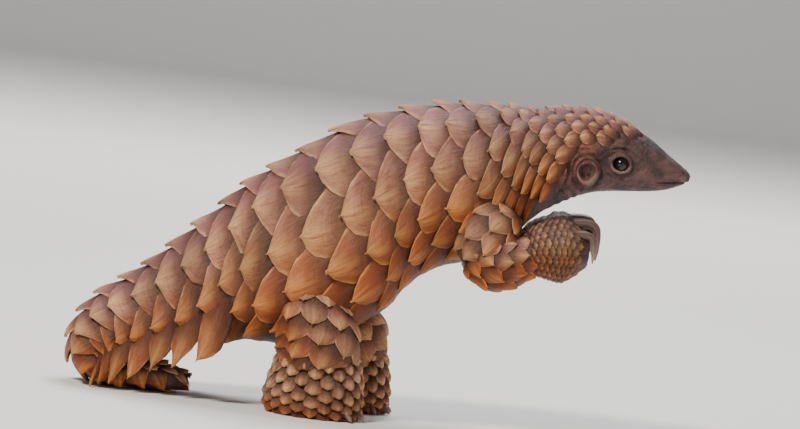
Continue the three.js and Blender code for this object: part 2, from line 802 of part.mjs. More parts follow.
// Forelegs: the forearm ends where the paw begins, and the claws sit in the paw
const armWhole = limbSolid(upperArm, 21, roomOverBody).add(limbSolid(forearm, 22, roomOverBody));
const armCut = armWhole.subtract(limbSkin(forepaw, gap));
const pawWhole = limbSolid(forepaw, 41, limbSkin(forearm, forearm.plates.lift + keelRise + 2 * gap));
const clawSolids = foreClaws.map((claw) => clawSolid(claw));
const pawSolid = pawWhole.subtract(Manifold.union(foreClaws.map((claw) => clawSolid(claw, gap))));
const [leftForearm, rightForearm] = bothSides(aboveFloor(armCut));
addNode('foreleg_left', leftForearm, hornColour);
addNode('foreleg_right', rightForearm, hornColour);
const [leftPaw, rightPaw] = bothSides(aboveFloor(pawSolid));
addNode('forepaw_left', leftPaw, skinColour);
addNode('forepaw_right', rightPaw, skinColour);
foreClaws.forEach((claw, i) => {
  const [leftClaw, rightClaw] = bothSides(clawSolids[i]);
  addNode(`foreclaw_${claw.name}_left`, leftClaw, clawColour);
  addNode(`foreclaw_${claw.name}_right`, rightClaw, clawColour);
});

// Hind legs, feet and claws, the left set one step ahead
function footSolid(step, seed) {
  const rings = shifted(hindfoot.rings, step);
  const skin = loftOfSurface(ringSurface(rings), 0, rings.length - 1, 5, limbSides);
  const coat = limbCoat(ringSurface(rings, limbDip), hindfoot.plates, seed);
  return skin.add(coat).trimByPlane([0, 0, -1], gap - hindleg.cut);
}

function hindClaw(step, angle, grow = 0) {
  const [x, y, , long, broad] = hindfoot.rings[3];
  const turn = (angle * Math.PI) / 180;
  const at = (reach, z) => [
    x + step + (long + reach) * Math.cos(turn),
    y + (broad + reach) * Math.sin(turn),
    z,
  ];
  const { inset, length, radius, height } = hindClaws;
  return clawSolid({
    root: at(-inset, height + 1.6),
    bend: at(length * 0.45 - inset, height + 0.8),
    tip: at(length - inset, radius * 0.3 + 0.4),
    radius,
  }, grow);
}

for (const [side, step, turnOver] of [['left', leftStep, false], ['right', 0, true]]) {
  const place = (solid) => (turnOver ? mirrored(solid) : solid);
  const whole = limbSolid({ ...hindleg, path: shifted(hindleg.path, step) }, 31, place(roomOverBody));
  const leg = whole.trimByPlane([0, 0, 1], hindleg.cut);
  addNode(`hindleg_${side}`, place(aboveFloor(leg)), hornColour);
  const room = Manifold.union(hindClaws.angles.map((angle) => hindClaw(step, angle, gap)));
  addNode(`hindfoot_${side}`, place(aboveFloor(footSolid(step, 51).subtract(room))), hornColour);
  hindClaws.angles.forEach((angle, i) => {
    addNode(`hindclaw_${i + 1}_${side}`, place(aboveFloor(hindClaw(step, angle))), clawColour);
  });
}

export default model;
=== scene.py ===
import math

import bmesh
import bpy
import numpy as np
from mathutils import Matrix, Vector


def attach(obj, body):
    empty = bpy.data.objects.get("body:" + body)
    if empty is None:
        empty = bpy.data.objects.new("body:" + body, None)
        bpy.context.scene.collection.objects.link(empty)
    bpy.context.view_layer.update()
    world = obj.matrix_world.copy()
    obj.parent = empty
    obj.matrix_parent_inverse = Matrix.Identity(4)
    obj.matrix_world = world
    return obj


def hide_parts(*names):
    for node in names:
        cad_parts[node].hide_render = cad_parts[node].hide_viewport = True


# A ground pangolin at life size, walking on its hind legs with its forefeet held up.
# The body is a surface of two numbers: s, the place along it from nose to tail tip, and v, the
# share of half its girth from the ridge line, above 0 on the animal's right. One skin covers body
# and limbs, and horn scales lie on it in staggered rows. Sizes are in millimetres until a mesh is made.

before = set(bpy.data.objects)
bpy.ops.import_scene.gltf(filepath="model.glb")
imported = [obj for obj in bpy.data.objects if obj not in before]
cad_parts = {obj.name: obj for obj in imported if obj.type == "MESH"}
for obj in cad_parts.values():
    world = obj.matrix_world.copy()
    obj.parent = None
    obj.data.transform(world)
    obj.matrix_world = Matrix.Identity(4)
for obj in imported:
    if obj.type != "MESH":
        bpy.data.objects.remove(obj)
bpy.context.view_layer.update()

MM = 0.001
rng = np.random.default_rng(11)

# Cross-sections from the nose to the tip of the tail, over the scales:
# top x, top z, bottom x, bottom z, half width, height of the widest part as a share, how square the
# underside is, depth of the coat, distance of scales along the back, distance of rows and share
# that bears scales, both as shares of half the girth
SECTIONS = {
    "nose end": (299.5, 281, 299.5, 276, 3, 0.5, 2, 0, 13, 0.09, 0),
    "nose": (296.5, 285, 296.5, 272.5, 6.5, 0.5, 2, 0, 13, 0.09, 0),
    "muzzle": (278, 297, 278, 264, 12, 0.45, 2.3, 0, 13, 0.09, 0),
    "snout": (256, 312, 260, 260, 18, 0.45, 2.4, 0, 13, 0.09, 0),
    "cheek": (232, 324, 239, 257, 25, 0.5, 2.4, 0.6, 13, 0.09, 0.18),
    "brow": (206, 332, 214, 253, 31, 0.5, 2.3, 1.4, 14, 0.09, 0.36),
    "ear": (186, 334, 195, 247, 36, 0.5, 2.3, 2, 15, 0.09, 0.42),
    "nape": (163, 332, 171, 234, 42, 0.5, 2.2, 2.4, 17, 0.095, 0.66),
    "neck": (139, 328, 151, 219, 50, 0.5, 2.1, 2.8, 18, 0.102, 0.75),
    "shoulder": (111, 328, 128, 194, 60, 0.5, 2.1, 3, 20, 0.122, 0.84),
    "withers": (79, 326, 101, 170, 70, 0.48, 2.1, 3.4, 25, 0.146, 0.84),
    "chest": (41, 321, 58, 154, 77, 0.48, 2.1, 3.4, 29, 0.16, 0.84),
    "ribs": (2, 310, 31, 132, 82, 0.47, 2.1, 3.4, 33, 0.165, 0.84),
    "loin": (-36, 295, 13, 106, 84, 0.45, 2.1, 3.4, 37, 0.165, 0.84),
    "back": (-71, 272, -27, 80, 82, 0.44, 2.2, 3.4, 39, 0.167, 0.84),
    "rump": (-105, 246, -77, 62, 77, 0.42, 2.3, 3.4, 35, 0.172, 0.87),
    "hip": (-137, 220, -117, 60, 69, 0.42, 2.5, 3.4, 30, 0.195, 0.94),
    "tail root": (-168, 187, -147, 61, 62, 0.4, 3, 3.4, 32, 0.235, 1),
    "upper tail": (-195, 160, -173, 60, 57, 0.38, 3.6, 3.4, 33, 0.265, 1),
    "mid tail": (-222, 133, -199, 54, 54, 0.38, 4, 3.4, 31, 0.27, 1),
    "low tail": (-248, 111, -222, 45, 51, 0.38, 4, 3.3, 29, 0.27, 1),
    "bend start": (-274, 91, -238, 39, 49, 0.38, 4, 3.2, 26, 0.27, 1),
    "bend": (-297, 56, -249, 34, 46, 0.42, 3.4, 3, 24, 0.27, 1),
    "bend turn": (-294, 20, -250, 29, 43, 0.46, 3, 2.8, 24, 0.27, 1),
    "bend end": (-262, 0, -244, 29, 39, 0.48, 2.8, 2.6, 23, 0.27, 1),
    "curl": (-228, 0, -226, 30, 35, 0.5, 2.6, 2.4, 22, 0.27, 1),
    "curl end": (-196, 0, -198, 28, 27, 0.5, 2.4, 2, 21, 0.27, 1),
    "tip": (-173, 7, -174, 20, 10, 0.5, 2, 1.4, 20, 0.27, 1),
}
COLUMNS = (
    "top_x", "top_z", "bottom_x", "bottom_z", "half", "wide", "boxy", "coat", "pitch", "row", "cover"
)
PLACES = {name: place for place, name in enumerate(SECTIONS)}
LAST_PLACE = len(SECTIONS) - 1
TABLE = np.array(list(SECTIONS.values()), float)

# Tail sides stand upright, and their lowest row of scales hangs on down to a line near the floor
WALL_SHARE = 0.58
EDGE_ROW = 3
SKIRT_HANG = 0.55
SKIRT_BACK = 6
SKIRT_END = {"x": -178, "z": 35, "slope": 0.4, "least": 1.5}
SKIRT_FIRST = PLACES["tail root"] - 0.35
SKIRT_LAST = PLACES["bend"] + 0.9

# Shape of the body above its widest part, as the exponent of a superellipse
UPPER_EXPONENT = 2.15

# Head parts on the left side
EYE = {"x": 227.5, "z": 284.5, "radius": 7.6, "proud": 2.4}
EAR = {"x": 194.5, "z": 272.5, "long": 12, "broad": 9.6}
NOSTRIL = {"x": 299, "y": 2.9, "z": 280.5, "radius": 1.5}

# Limbs on the left side: path points and the radius at each
UPPER_ARM = {"path": [[114, 40, 224], [105, 50, 200], [100, 55, 168]], "radii": [23, 29, 21]}
FOREARM = {"path": [[88, 56, 179], [118, 56, 173], [150, 51, 187]], "radii": [17, 25, 19]}
FOREPAW = {
    "path": [[147, 51.3, 187], [164, 50, 191], [183, 48, 193], [206, 47, 193]],
    "radii": [21, 28, 30, 14],
}
FORE_CLAWS = {
    "inner": {"root": [180, 33, 216], "bend": [204, 34, 216], "tip": [211, 36, 191], "radius": 4.6},
    "middle": {"root": [182, 47, 219], "bend": [208, 47, 219], "tip": [213, 46, 187], "radius": 6},
    "outer": {"root": [184, 61, 210], "bend": [206, 61, 209], "tip": [210, 58, 184], "radius": 4.8},
}
HINDLEG = {
    "path": [[-66, 44, 112], [-56, 50, 92], [-49, 52, 74], [-45, 52, 50]],
    "radii": [29, 35, 40, 36],
}
# Hind foot rings from the top down: x, y, z, half length, half width
HINDFOOT = [
    [-46, 52, 60, 36.6, 32],
    [-46, 52, 42, 41.5, 34],
    [-47, 52, 22, 45, 36],
    [-47, 52, 8, 44.5, 35.5],
    [-46, 52, 0, 40, 31],
]
HIND_CLAWS = {"angles": [-46, -17, 12, 41], "inset": 5, "length": 15, "radius": 4.4, "height": 6.2}
STEP = {"left": 26, "right": 0}
SIDE = {"left": 1, "right": -1}

# The camera: the ground in the view falls away to the right
GROUND_SLOPE = math.radians(7.2)
CAMERA_RISE = math.radians(3)
CAMERA_AIM = np.array([0.016, 0, 0.206])
CAMERA_DISTANCE = 4


def through(values, at):
    """Smooth curve through equally spaced values: cubic pieces whose slope at each value is half
    the difference of its two neighbours."""
    values = np.asarray(values, float)
    last = len(values) - 1
    place = np.clip(np.asarray(at, float), 0, last)
    i = np.minimum(place.astype(int), last - 1)
    t = place - i
    if values.ndim > 1:
        t = t[..., None]
    here = values[i]
    after = values[i + 1]
    pull = (after - values[np.maximum(i - 1, 0)]) / 2
    push = (values[np.minimum(i + 2, last)] - here) / 2
    t2 = t * t
    t3 = t2 * t
    return (
        (2 * t3 - 3 * t2 + 1) * here
        + (t3 - 2 * t2 + t) * pull
        + (3 * t2 - 2 * t3) * after
        + (t3 - t2) * push
    )


def column(name, s):
    """The named column of the section table at the places s."""
    return through(TABLE[:, COLUMNS.index(name)], s)


def smooth(low, high, x):
    """0 below low, 1 above high, with a smooth S between: 3x² - 2x³ of the share of the way."""
    share = np.clip((x - low) / (high - low), 0, 1)
    return share * share * (3 - 2 * share)


def hump(distance, width):
    """Bell curve: e to the minus square of distance over width."""
    return np.exp(-((distance / width) ** 2))


def unit(vectors):
    """The same directions with length one."""
    return vectors / np.maximum(np.linalg.norm(vectors, axis=-1, keepdims=True), 1e-9)


def noise(points, size, seed):
    """Smooth wandering value from -1 to 1: the mean of eight sine waves in random directions whose
    wavelength is about size."""
    source = np.random.default_rng(seed)
    turns = unit(source.normal(size=(8, 3))) * (2 * np.pi / size) * source.uniform(0.7, 1.5, (8, 1))
    return np.sin(points @ turns.T + source.uniform(0, 2 * np.pi, 8)).mean(-1) * 1.6


# The body's surface


def body_grid(steps_along, steps_round):
    """Half the skin, from ridge to belly line. At each place a superellipse, its upper half at
    its own exponent and its lower half as square as the table says, less the depth of the coat, is
    sampled at equal shares of its length."""
    s = np.linspace(0, LAST_PLACE, steps_along)
    angle = np.linspace(0, np.pi, 241)
    top = np.stack([column("top_x", s), column("top_z", s)], -1)
    bottom = np.stack([column("bottom_x", s), column("bottom_z", s)], -1)
    height = np.linalg.norm(top - bottom, axis=-1)
    up = (top - bottom) / height[:, None]
    wide = column("wide", s)
    coat = column("coat", s)
    centre = bottom + (top - bottom) * wide[:, None]
    rise = (height * (1 - wide) - coat)[:, None]
    drop = (height * wide - coat)[:, None]
    half = (column("half", s) - coat)[:, None]
    above = np.cos(angle)[None] > 0
    exponent = 2 / np.where(above, UPPER_EXPONENT, column("boxy", s)[:, None])
    side = half * np.abs(np.sin(angle)) ** exponent
    lift = np.where(above, rise, drop) * np.sign(np.cos(angle)) * np.abs(np.cos(angle)) ** exponent
    x = centre[:, :1] + up[:, :1] * lift
    z = centre[:, 1:] + up[:, 1:] * lift
    round_points = np.stack([x, -side, z], -1)
    length = np.cumsum(np.linalg.norm(np.diff(round_points, axis=1), axis=-1), axis=1)
    length = np.concatenate([np.zeros((steps_along, 1)), length], 1)
    length /= length[:, -1:]
    shares = np.linspace(0, 1, steps_round)
    grid = np.empty((steps_along, steps_round, 3))
    for i in range(steps_along):
        for axis in range(3):
            grid[i, :, axis] = np.interp(shares, length[i], round_points[i, :, axis])
    return grid


STEPS_PER_PLACE = 24
GRID_ALONG = LAST_PLACE * STEPS_PER_PLACE + 1
GRID_ROUND = 161
body_points = body_grid(GRID_ALONG, GRID_ROUND)
body_normals = np.cross(np.gradient(body_points, axis=0), np.gradient(body_points, axis=1))
body_normals[:, (0, -1), 1] = 0
body_normals = unit(body_normals)


def read_grid(grid, s, v):
    """Value of a half grid at s and v, straight between its four nearest points and mirrored for
    the left side. Past the belly line v runs on up the other side."""
    wrapped = (v + 1) % 2 - 1
    along = np.clip(s, 0, LAST_PLACE) * STEPS_PER_PLACE
    across = np.abs(wrapped) * (GRID_ROUND - 1)
    i = np.minimum(along.astype(int), GRID_ALONG - 2)
    j = np.minimum(across.astype(int), GRID_ROUND - 2)
    a = (along - i)[..., None]
    b = (across - j)[..., None]
    near = grid[i, j] * (1 - b) + grid[i, j + 1] * b
    far = grid[i + 1, j] * (1 - b) + grid[i + 1, j + 1] * b
    value = near * (1 - a) + far * a
    value[..., 1] *= np.where(wrapped < 0, -1, 1)
    return value


def body_surface(s, v):
    """Point and outward normal of the skin."""
    return read_grid(body_points, s, v), unit(read_grid(body_normals, s, v))


def skirt_surface(s, v):
    """The skin down to the upright part of the tail's side, then straight down by the same share
    of the way to a line z = end z + slope (x - end x) that runs down towards the floor."""
    side = np.sign(v)
    share = np.abs(v)
    wall, normal = body_surface(s, side * np.minimum(share, WALL_SHARE))
    whole = (EDGE_ROW + SKIRT_HANG) * column("row", s) - WALL_SHARE
    beyond = np.clip((share - WALL_SHARE) / whole, 0, 1)
    x = wall[..., 0] - SKIRT_BACK * beyond
    end = np.maximum(SKIRT_END["z"] + SKIRT_END["slope"] * (x - SKIRT_END["x"]), SKIRT_END["least"])
    z = wall[..., 2] + (end - wall[..., 2]) * beyond
    return np.stack([x, wall[..., 1], z], -1), normal


# Lattice of scales on the body: n counts scales along the back

fine = np.linspace(0, LAST_PLACE, LAST_PLACE * 40 + 1)
ridge = body_surface(fine, np.zeros_like(fine))[0]
ridge_steps = np.linalg.norm(np.diff(ridge, axis=0), axis=-1) / column("pitch", fine[1:])
ridge_count = np.concatenate([[0], np.cumsum(ridge_steps)])


def place_at(n):
    """The place along the body where the count of scales reaches n."""
    return np.interp(n, ridge_count, fine)


half_girth = np.linalg.norm(np.diff(body_points, axis=1), axis=-1).sum(1)


def body_ratio(s):
    """Distance of rows over distance of scales along the back."""
    girth = np.interp(s, np.linspace(0, LAST_PLACE, GRID_ALONG), half_girth)
    return column("row", s) * girth / column("pitch", s)


def row_share(s, row):
    """Where a row lies, as a share of half the girth: the rows are spread wider on the upper flank
    than below, by a sine wave from the ridge row to the last row."""
    tail = smooth(PLACES["rump"], PLACES["tail root"], s)
    last = column("cover", s) / column("row", s)
    last = last + (EDGE_ROW - last) * tail
    spread = smooth(PLACES["nape"], PLACES["withers"], s) * (0.6 - 0.28 * tail)
    extra = spread * np.sin(np.pi * np.clip(row / last, -1, 1))
    return (row + extra) * column("row", s)


def flank_share(s):
    """1 on the flanks, where keels lie level while the rows run down, and 0 on neck and tail."""
    past_neck = smooth(PLACES["shoulder"], PLACES["chest"], s)
    return past_neck * (1 - smooth(PLACES["rump"], PLACES["tail root"], s))


# Limb surfaces


def tube_surface(path, radii):
    """A round tube on a smooth path; v = 0 faces out to the animal's left."""
    path = np.asarray(path, float)
    last = len(path) - 1

    def surface(s, v):
        centre = through(path, s)
        along = unit(through(path, np.minimum(s + 0.05, last)) - through(path, np.maximum(s - 0.05, 0)))
        out = np.array([0.0, 1, 0]) - along * along[..., 1:2]
        out = unit(out)
        other = np.cross(out, along)
        angle = (np.pi * v)[..., None]
        normal = out * np.cos(angle) + other * np.sin(angle)
        return centre + normal * through(radii, s)[..., None], normal

    return surface


def ring_surface(rings):
    """Ellipses stacked from the top down; v = 0 faces out to the animal's left."""
    rings = np.asarray(rings, float)

    def point(s, v):
        x, y, z, long, broad = np.moveaxis(through(rings, s), -1, 0)
        angle = np.pi * v
        return np.stack([x - long * np.sin(angle), y + broad * np.cos(angle), z + 0 * v], -1)

    def surface(s, v):
        along = point(s + 0.03, v) - point(s - 0.03, v)
        across = point(s, v + 0.01) - point(s, v - 0.01)
        return point(s, v), unit(np.cross(along, across))

    return surface


# Meshes


def new_object(name, points, faces, material):
    """An object of points in millimetres and a list of faces, smooth shaded."""
    mesh = bpy.data.meshes.new(name)
    faces = faces if isinstance(faces, list) else faces.tolist()
    mesh.from_pydata((np.asarray(points) * MM).tolist(), [], faces, False)
    mesh.materials.append(material)
    piece = bpy.data.objects.new(name, mesh)
    bpy.context.scene.collection.objects.link(piece)
    return piece


def add_value(piece, name, values):
    """A number at each point of the mesh, for its material."""
    attribute = piece.data.attributes.new(name, "FLOAT", "POINT")
    attribute.data.foreach_set("value", np.asarray(values, np.float32).ravel())


def add_map(piece, name, uv):
    """A UV map given at each point of the mesh."""
    corners = np.empty(len(piece.data.loops), int)
    piece.data.loops.foreach_get("vertex_index", corners)
    layer = piece.data.uv_layers.new(name=name)
    layer.data.foreach_set("uv", np.asarray(uv, np.float32)[corners].ravel())


def strip_faces(rows, columns, closed=False, start=0):
    """Quads of a grid of points, row after row; closed joins the last column to the first."""
    i = np.arange(rows - 1)[:, None]
    j = np.arange(columns if closed else columns - 1)[None]
    k = (j + 1) % columns
    here = i * columns
    after = here + columns
    quads = np.stack(np.broadcast_arrays(here + j, after + j, after + k, here + k), -1)
    return start + quads.reshape(-1, 4)


def closed_tube(rings, start=0):
    """Points and faces of rings joined in order, closed by one face at each end."""
    count, sides, _ = rings.shape
    faces = strip_faces(count, sides, closed=True, start=start).tolist()
    first = start + np.arange(sides)
    faces.append(first.tolist())
    faces.append((first + (count - 1) * sides)[::-1].tolist())
    return rings.reshape(-1, 3), faces


def mirrored(points, faces):
    """The same shape on the animal's other side, faces turned to point outwards again."""
    return points * np.array([1, -1, 1]), [face[::-1] for face in faces]


# Scales

# Where a scale meets the floor it is pressed flat: height of its lower side, and its thickness
FLOOR_GAP = 0.3
FLAT_THICK = 0.6

# Grids of a large and a small scale: shares from root to tip, and across from side to side
LARGE = {
    "t": np.array([0, 0.25, 0.46, 0.64, 0.79, 0.9, 0.965, 1]),
    "u": np.array([-1, -0.9, -0.5, -0.2, 0, 0.2, 0.5, 0.9, 1]),
}
SMALL = {
    "t": np.array([0, 0.3, 0.55, 0.74, 0.87, 0.95, 1]),
    "u": np.array([-1, -0.88, -0.45, 0, 0.45, 0.88, 1]),
}


def outline(t, point, full):
    """Half width from root to tip: it swells to one at t = 0.4, then falls as
    (1 - share^point)^full and ends in a small nub that the ridge carries out to the tip."""
    front = 0.7 + 0.3 * np.sin(np.pi / 2 * np.minimum(t / 0.4, 1))
    rear = np.clip((t - 0.4) / 0.6, 0, 1)
    rounded = np.clip(1 - (rear / 0.93) ** point, 0, 1) ** full
    nub = 0.12 * np.sqrt(np.clip(1 - rear, 0, 1)) * smooth(0.4, 0.9, rear)
    return np.where(t < 0.4, front, np.sqrt(rounded**2 + nub**2)) + 0.008


class Scales:
    """Scales of one part, each a thin closed shell on a grid that is mapped to the surface below.
    n and row are the tips' places in the lattice; place turns lattice numbers into s and v.
    point and full shape the rear edge; length and half are in pitches and rows, and lift, thick,
    crown (how domed) and keel (its ridge) in millimetres. turn(s, row) is the angle from its row
    down to its own line, in radians, bend(s) how far its ridge starts below the middle, and
    ratio(s) the distance of rows over that of scales."""

    def __init__(
        self, n, row, place, surface, grid=LARGE, length=1.5, half=0.94, lift=5.0, thick=1.9,
        crown=1.5, keel=1.6, point=1.5, full=0.85, turn=None, bend=None, ratio=None,
    ):
        t, u = grid["t"], grid["u"]
        middle = len(u) // 2
        count = len(n)

        def vary(spread):
            return rng.uniform(-spread, spread, (count, 1, 1))

        t = t[None, :, None]
        u = u[None, None, :]
        n = np.asarray(n, float)[:, None, None]
        row = np.asarray(row, float)[:, None, None]
        reach = length * (1 + vary(0.06))
        point = point * (1 + vary(0.16))
        width = outline(t, point, full) * half * (1 + vary(0.06))
        tip_s = place(n, row)[0]
        angle = vary(0.07) + (turn(tip_s, row) if turn else 0)
        rows_to_pitches = ratio(tip_s) if ratio else 1.0
        across = np.abs(u)
        near_edge = smooth(0.5, 0.9, across) * smooth(0.5, 0.75, t)
        ragged = 0.04 * np.sin(13 * t + 40 * vary(1)) * np.sign(u) * near_edge
        back = -reach * (1 - t) + 0 * u
        sideways = (u * width + ragged) * rows_to_pitches
        down = np.where(row < 0, -1, 1)
        n_grid = n + vary(0.05) + back * np.cos(angle) - down * sideways * np.sin(angle)
        turned = down * back * np.sin(angle) + sideways * np.cos(angle)
        row_grid = row + vary(0.05) + turned / rows_to_pitches
        s, v = place(n_grid, row_grid)
        ground, normal = surface(s, v)
        size = np.asarray(lift(s) if callable(lift) else lift)
        rise = size * (1 + vary(0.16)) * (-0.22 + 1.22 * t**1.3)
        bulge = crown * (1 - across**2) * np.sin(np.pi * np.clip(t * 0.95 + 0.05, 0, 1)) ** 0.7
        ridge_width = 0.15 / np.maximum(width, 0.13)
        off_ridge = u - (bend(tip_s) * down * (1 - t) if bend else 0)
        ridge_line = hump(off_ridge, ridge_width) * smooth(0.3, 0.9, t)
        height = rise + bulge + keel * ridge_line - 0.3 * size * across**3 * (1 - 0.5 * t)
        depth = thick * (0.5 + 0.5 * t) * (1 - 0.4 * across**8)
        over = ground + normal * height[..., None]
        under = ground + normal * (height - depth)[..., None]
        over[..., 2] = np.maximum(over[..., 2], FLOOR_GAP + FLAT_THICK)
        under[..., 2] = np.maximum(under[..., 2], FLOOR_GAP)
        self.shape = over.shape[1:3]
        self.count = count
        self.points = np.stack([over, under], 1).reshape(-1, 3)
        self.faces = self._faces()

        def whole(values):
            """Values of every scale's grid, for its upper and its lower side."""
            values = np.broadcast_to(values, (count,) + self.shape)
            return np.broadcast_to(values[:, None], (count, 2) + self.shape).reshape(-1)

        long = np.linalg.norm(ground[:, -1, middle] - ground[:, 0, middle], axis=-1)[:, None, None]
        broad = np.linalg.norm(ground[:, 3, -1] - ground[:, 3, 0], axis=-1)[:, None, None] / 2
        rings = (t**5 + across**5) ** 0.2
        shift = rng.uniform(0, 10, (3, count, 1, 1))
        self.values = {
            "rim": whole(np.maximum(smooth(0.7, 1, across) * smooth(0.35, 0.65, t), smooth(0.9, 1, t))),
            "ridge": whole(hump(off_ridge, 1.5 * ridge_width) * smooth(0.35, 0.95, t)),
            # painted shade at the root, which the scale before covers: 1 there, falling to 0 towards
            # the tip
            "root": whole(1 - smooth(0.3, 0.85, t)),
            "growth": whole(rings * long / 10 + shift[2]),
            "tone": whole(rng.uniform(0, 1, (count, 1, 1))),
            "hue": whole(rng.uniform(0, 1, (count, 1, 1))),
            # how far the skin faces up: the horn paints a sky sheen on faces that look up and shade on
            # those that look down
            "sky": whole(normal[..., 2]),
        }
        fan = u * (0.35 + 0.65 * width) * broad / 10 + shift[0]
        grain = np.stack([whole(fan), whole(t * long / 10 + shift[1])], -1)
        root_s = s[:, :1, middle : middle + 1]
        root_v = np.clip(v[:, :1, middle : middle + 1], -1, 1)
        share = (root_s - root_s.min()) / max(float(np.ptp(root_s)), 1e-6)
        patch_u = whole(0.02 + 0.95 * share + 0.0015 * u)
        patch_v = whole(0.02 + 0.475 * (root_v + 1) + 0.003 * t)
        self.maps = {"OFBake": np.stack([patch_u, patch_v], -1), "grain": grain}

    def _faces(self):
        """Upper and lower grids and the four walls between them, for every scale at once."""
        rows, columns = self.shape
        layer = rows * columns
        over = strip_faces(rows, columns)
        under = over[:, ::-1] + layer
        i = np.arange(rows - 1) * columns
        right = i + columns - 1
        j = np.arange(columns - 1)
        end = (rows - 1) * columns + j
        walls = [
            np.stack([right, right + columns, right + columns + layer, right + layer], -1),
            np.stack([i + layer, i + columns + layer, i + columns, i], -1),
            np.stack([end + layer, end + 1 + layer, end + 1, end], -1),
            np.stack([j, j + 1, j + 1 + layer, j + layer], -1),
        ]
        one = np.concatenate([over, under, *walls])
        return (one[None] + (np.arange(self.count) * 2 * layer)[:, None, None]).reshape(-1, 4)

    def mirror(self):
        """The same scales on the animal's other side."""
        self.points = self.points * np.array([1, -1, 1])
        self.faces = self.faces[:, ::-1]
        return self

    def build(self, name, material, *more):
        """One piece of these scales and any others."""
        parts = (self,) + more
        starts = np.cumsum([0] + [len(part.points) for part in parts])
        faces = np.concatenate([part.faces + start for part, start in zip(parts, starts)])
        piece = new_object(name, np.concatenate([part.points for part in parts]), faces, material)
        for key in self.values:
            add_value(piece, key, np.concatenate([part.values[key] for part in parts]))
        for key in self.maps:
            add_map(piece, key, np.concatenate([part.maps[key] for part in parts]))
        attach(piece, "root")
        return piece


# Materials


class Nodes:
    """A material's node tree, with a short way to add a node and link its inputs."""

    def __init__(self, name):
        self.material = bpy.data.materials.new(name)
        self.material.use_nodes = True
        self.tree = self.material.node_tree
        self.tree.nodes.clear()
        self.output = self.tree.nodes.new("ShaderNodeOutputMaterial")

    def add(self, kind, inputs=None, **settings):
        """A node of that kind; each input is a socket to link or a value to set."""
        node = self.tree.nodes.new("ShaderNode" + kind)
        for key, value in settings.items():
            setattr(node, key, value)
        for key, value in (inputs or {}).items():
            if isinstance(value, bpy.types.NodeSocket):
                self.tree.links.new(value, node.inputs[key])
            else:
                node.inputs[key].default_value = value
        return node

    def value(self, name):
        """The number that the mesh carries under this name."""
        return self.add("Attribute", attribute_name=name).outputs["Fac"]

    def math(self, operation, a, b=0.0, c=0.0):
        return self.add("Math", {0: a, 1: b, 2: c}, operation=operation).outputs[0]

    def scaled(self, value, by):
        """A value times a number or another value."""
        return self.math("MULTIPLY", value, by)

    def ramp(self, value, low, high):
        """0 at low and 1 at high, smooth between."""
        inputs = {"Value": value, "From Min": low, "From Max": high}
        return self.add("MapRange", inputs, interpolation_type="SMOOTHSTEP").outputs[0]

    def mix(self, share, a, b, blend="MIX"):
        """Colour a with colour b laid over it by share."""
        node = self.add("Mix", data_type="RGBA", blend_type=blend)
        for socket, value in ((node.inputs["Factor"], share), (node.inputs[6], a), (node.inputs[7], b)):
            if isinstance(value, bpy.types.NodeSocket):
                self.tree.links.new(value, socket)
            elif isinstance(value, tuple):
                socket.default_value = (*value, 1)
            else:
                socket.default_value = value
        return node.outputs[2]

    def noise(self, vector, scale, detail=3, roughness=0.55):
        inputs = {"Vector": vector, "Scale": scale, "Detail": detail, "Roughness": roughness}
        return self.add("TexNoise", inputs).outputs["Fac"]

    def cells(self, vector, scale):
        """Distance to the nearest edge of a pattern of cells."""
        inputs = {"Vector": vector, "Scale": scale}
        return self.add("TexVoronoi", inputs, feature="DISTANCE_TO_EDGE").outputs["Distance"]

    def stretched(self, source, scale):
        """Coordinates scaled by a different amount on each axis."""
        return self.add("Mapping", {"Vector": source, "Scale": scale}).outputs[0]

    def finish(self, colour, roughness, height=None, strength=0.4, distance=0.001, **sockets):
        """The finished material, with a bump of that height where one is given."""
        inputs = {"Base Color": colour, "Roughness": roughness, **sockets}
        if height is not None:
            bump = self.add("Bump", {"Height": height, "Strength": strength, "Distance": distance})
            inputs["Normal"] = bump.outputs[0]
        shader = self.add("BsdfPrincipled", inputs)
        self.tree.links.new(shader.outputs[0], self.output.inputs["Surface"])
        return self.material


# Colour of painted shade by which horn that looks down is multiplied, and colour of the bare skin round
# the ears
UNDER_SHADE_TINT = (1.0, 0.7, 0.36)
RUST = (0.26, 0.075, 0.045)


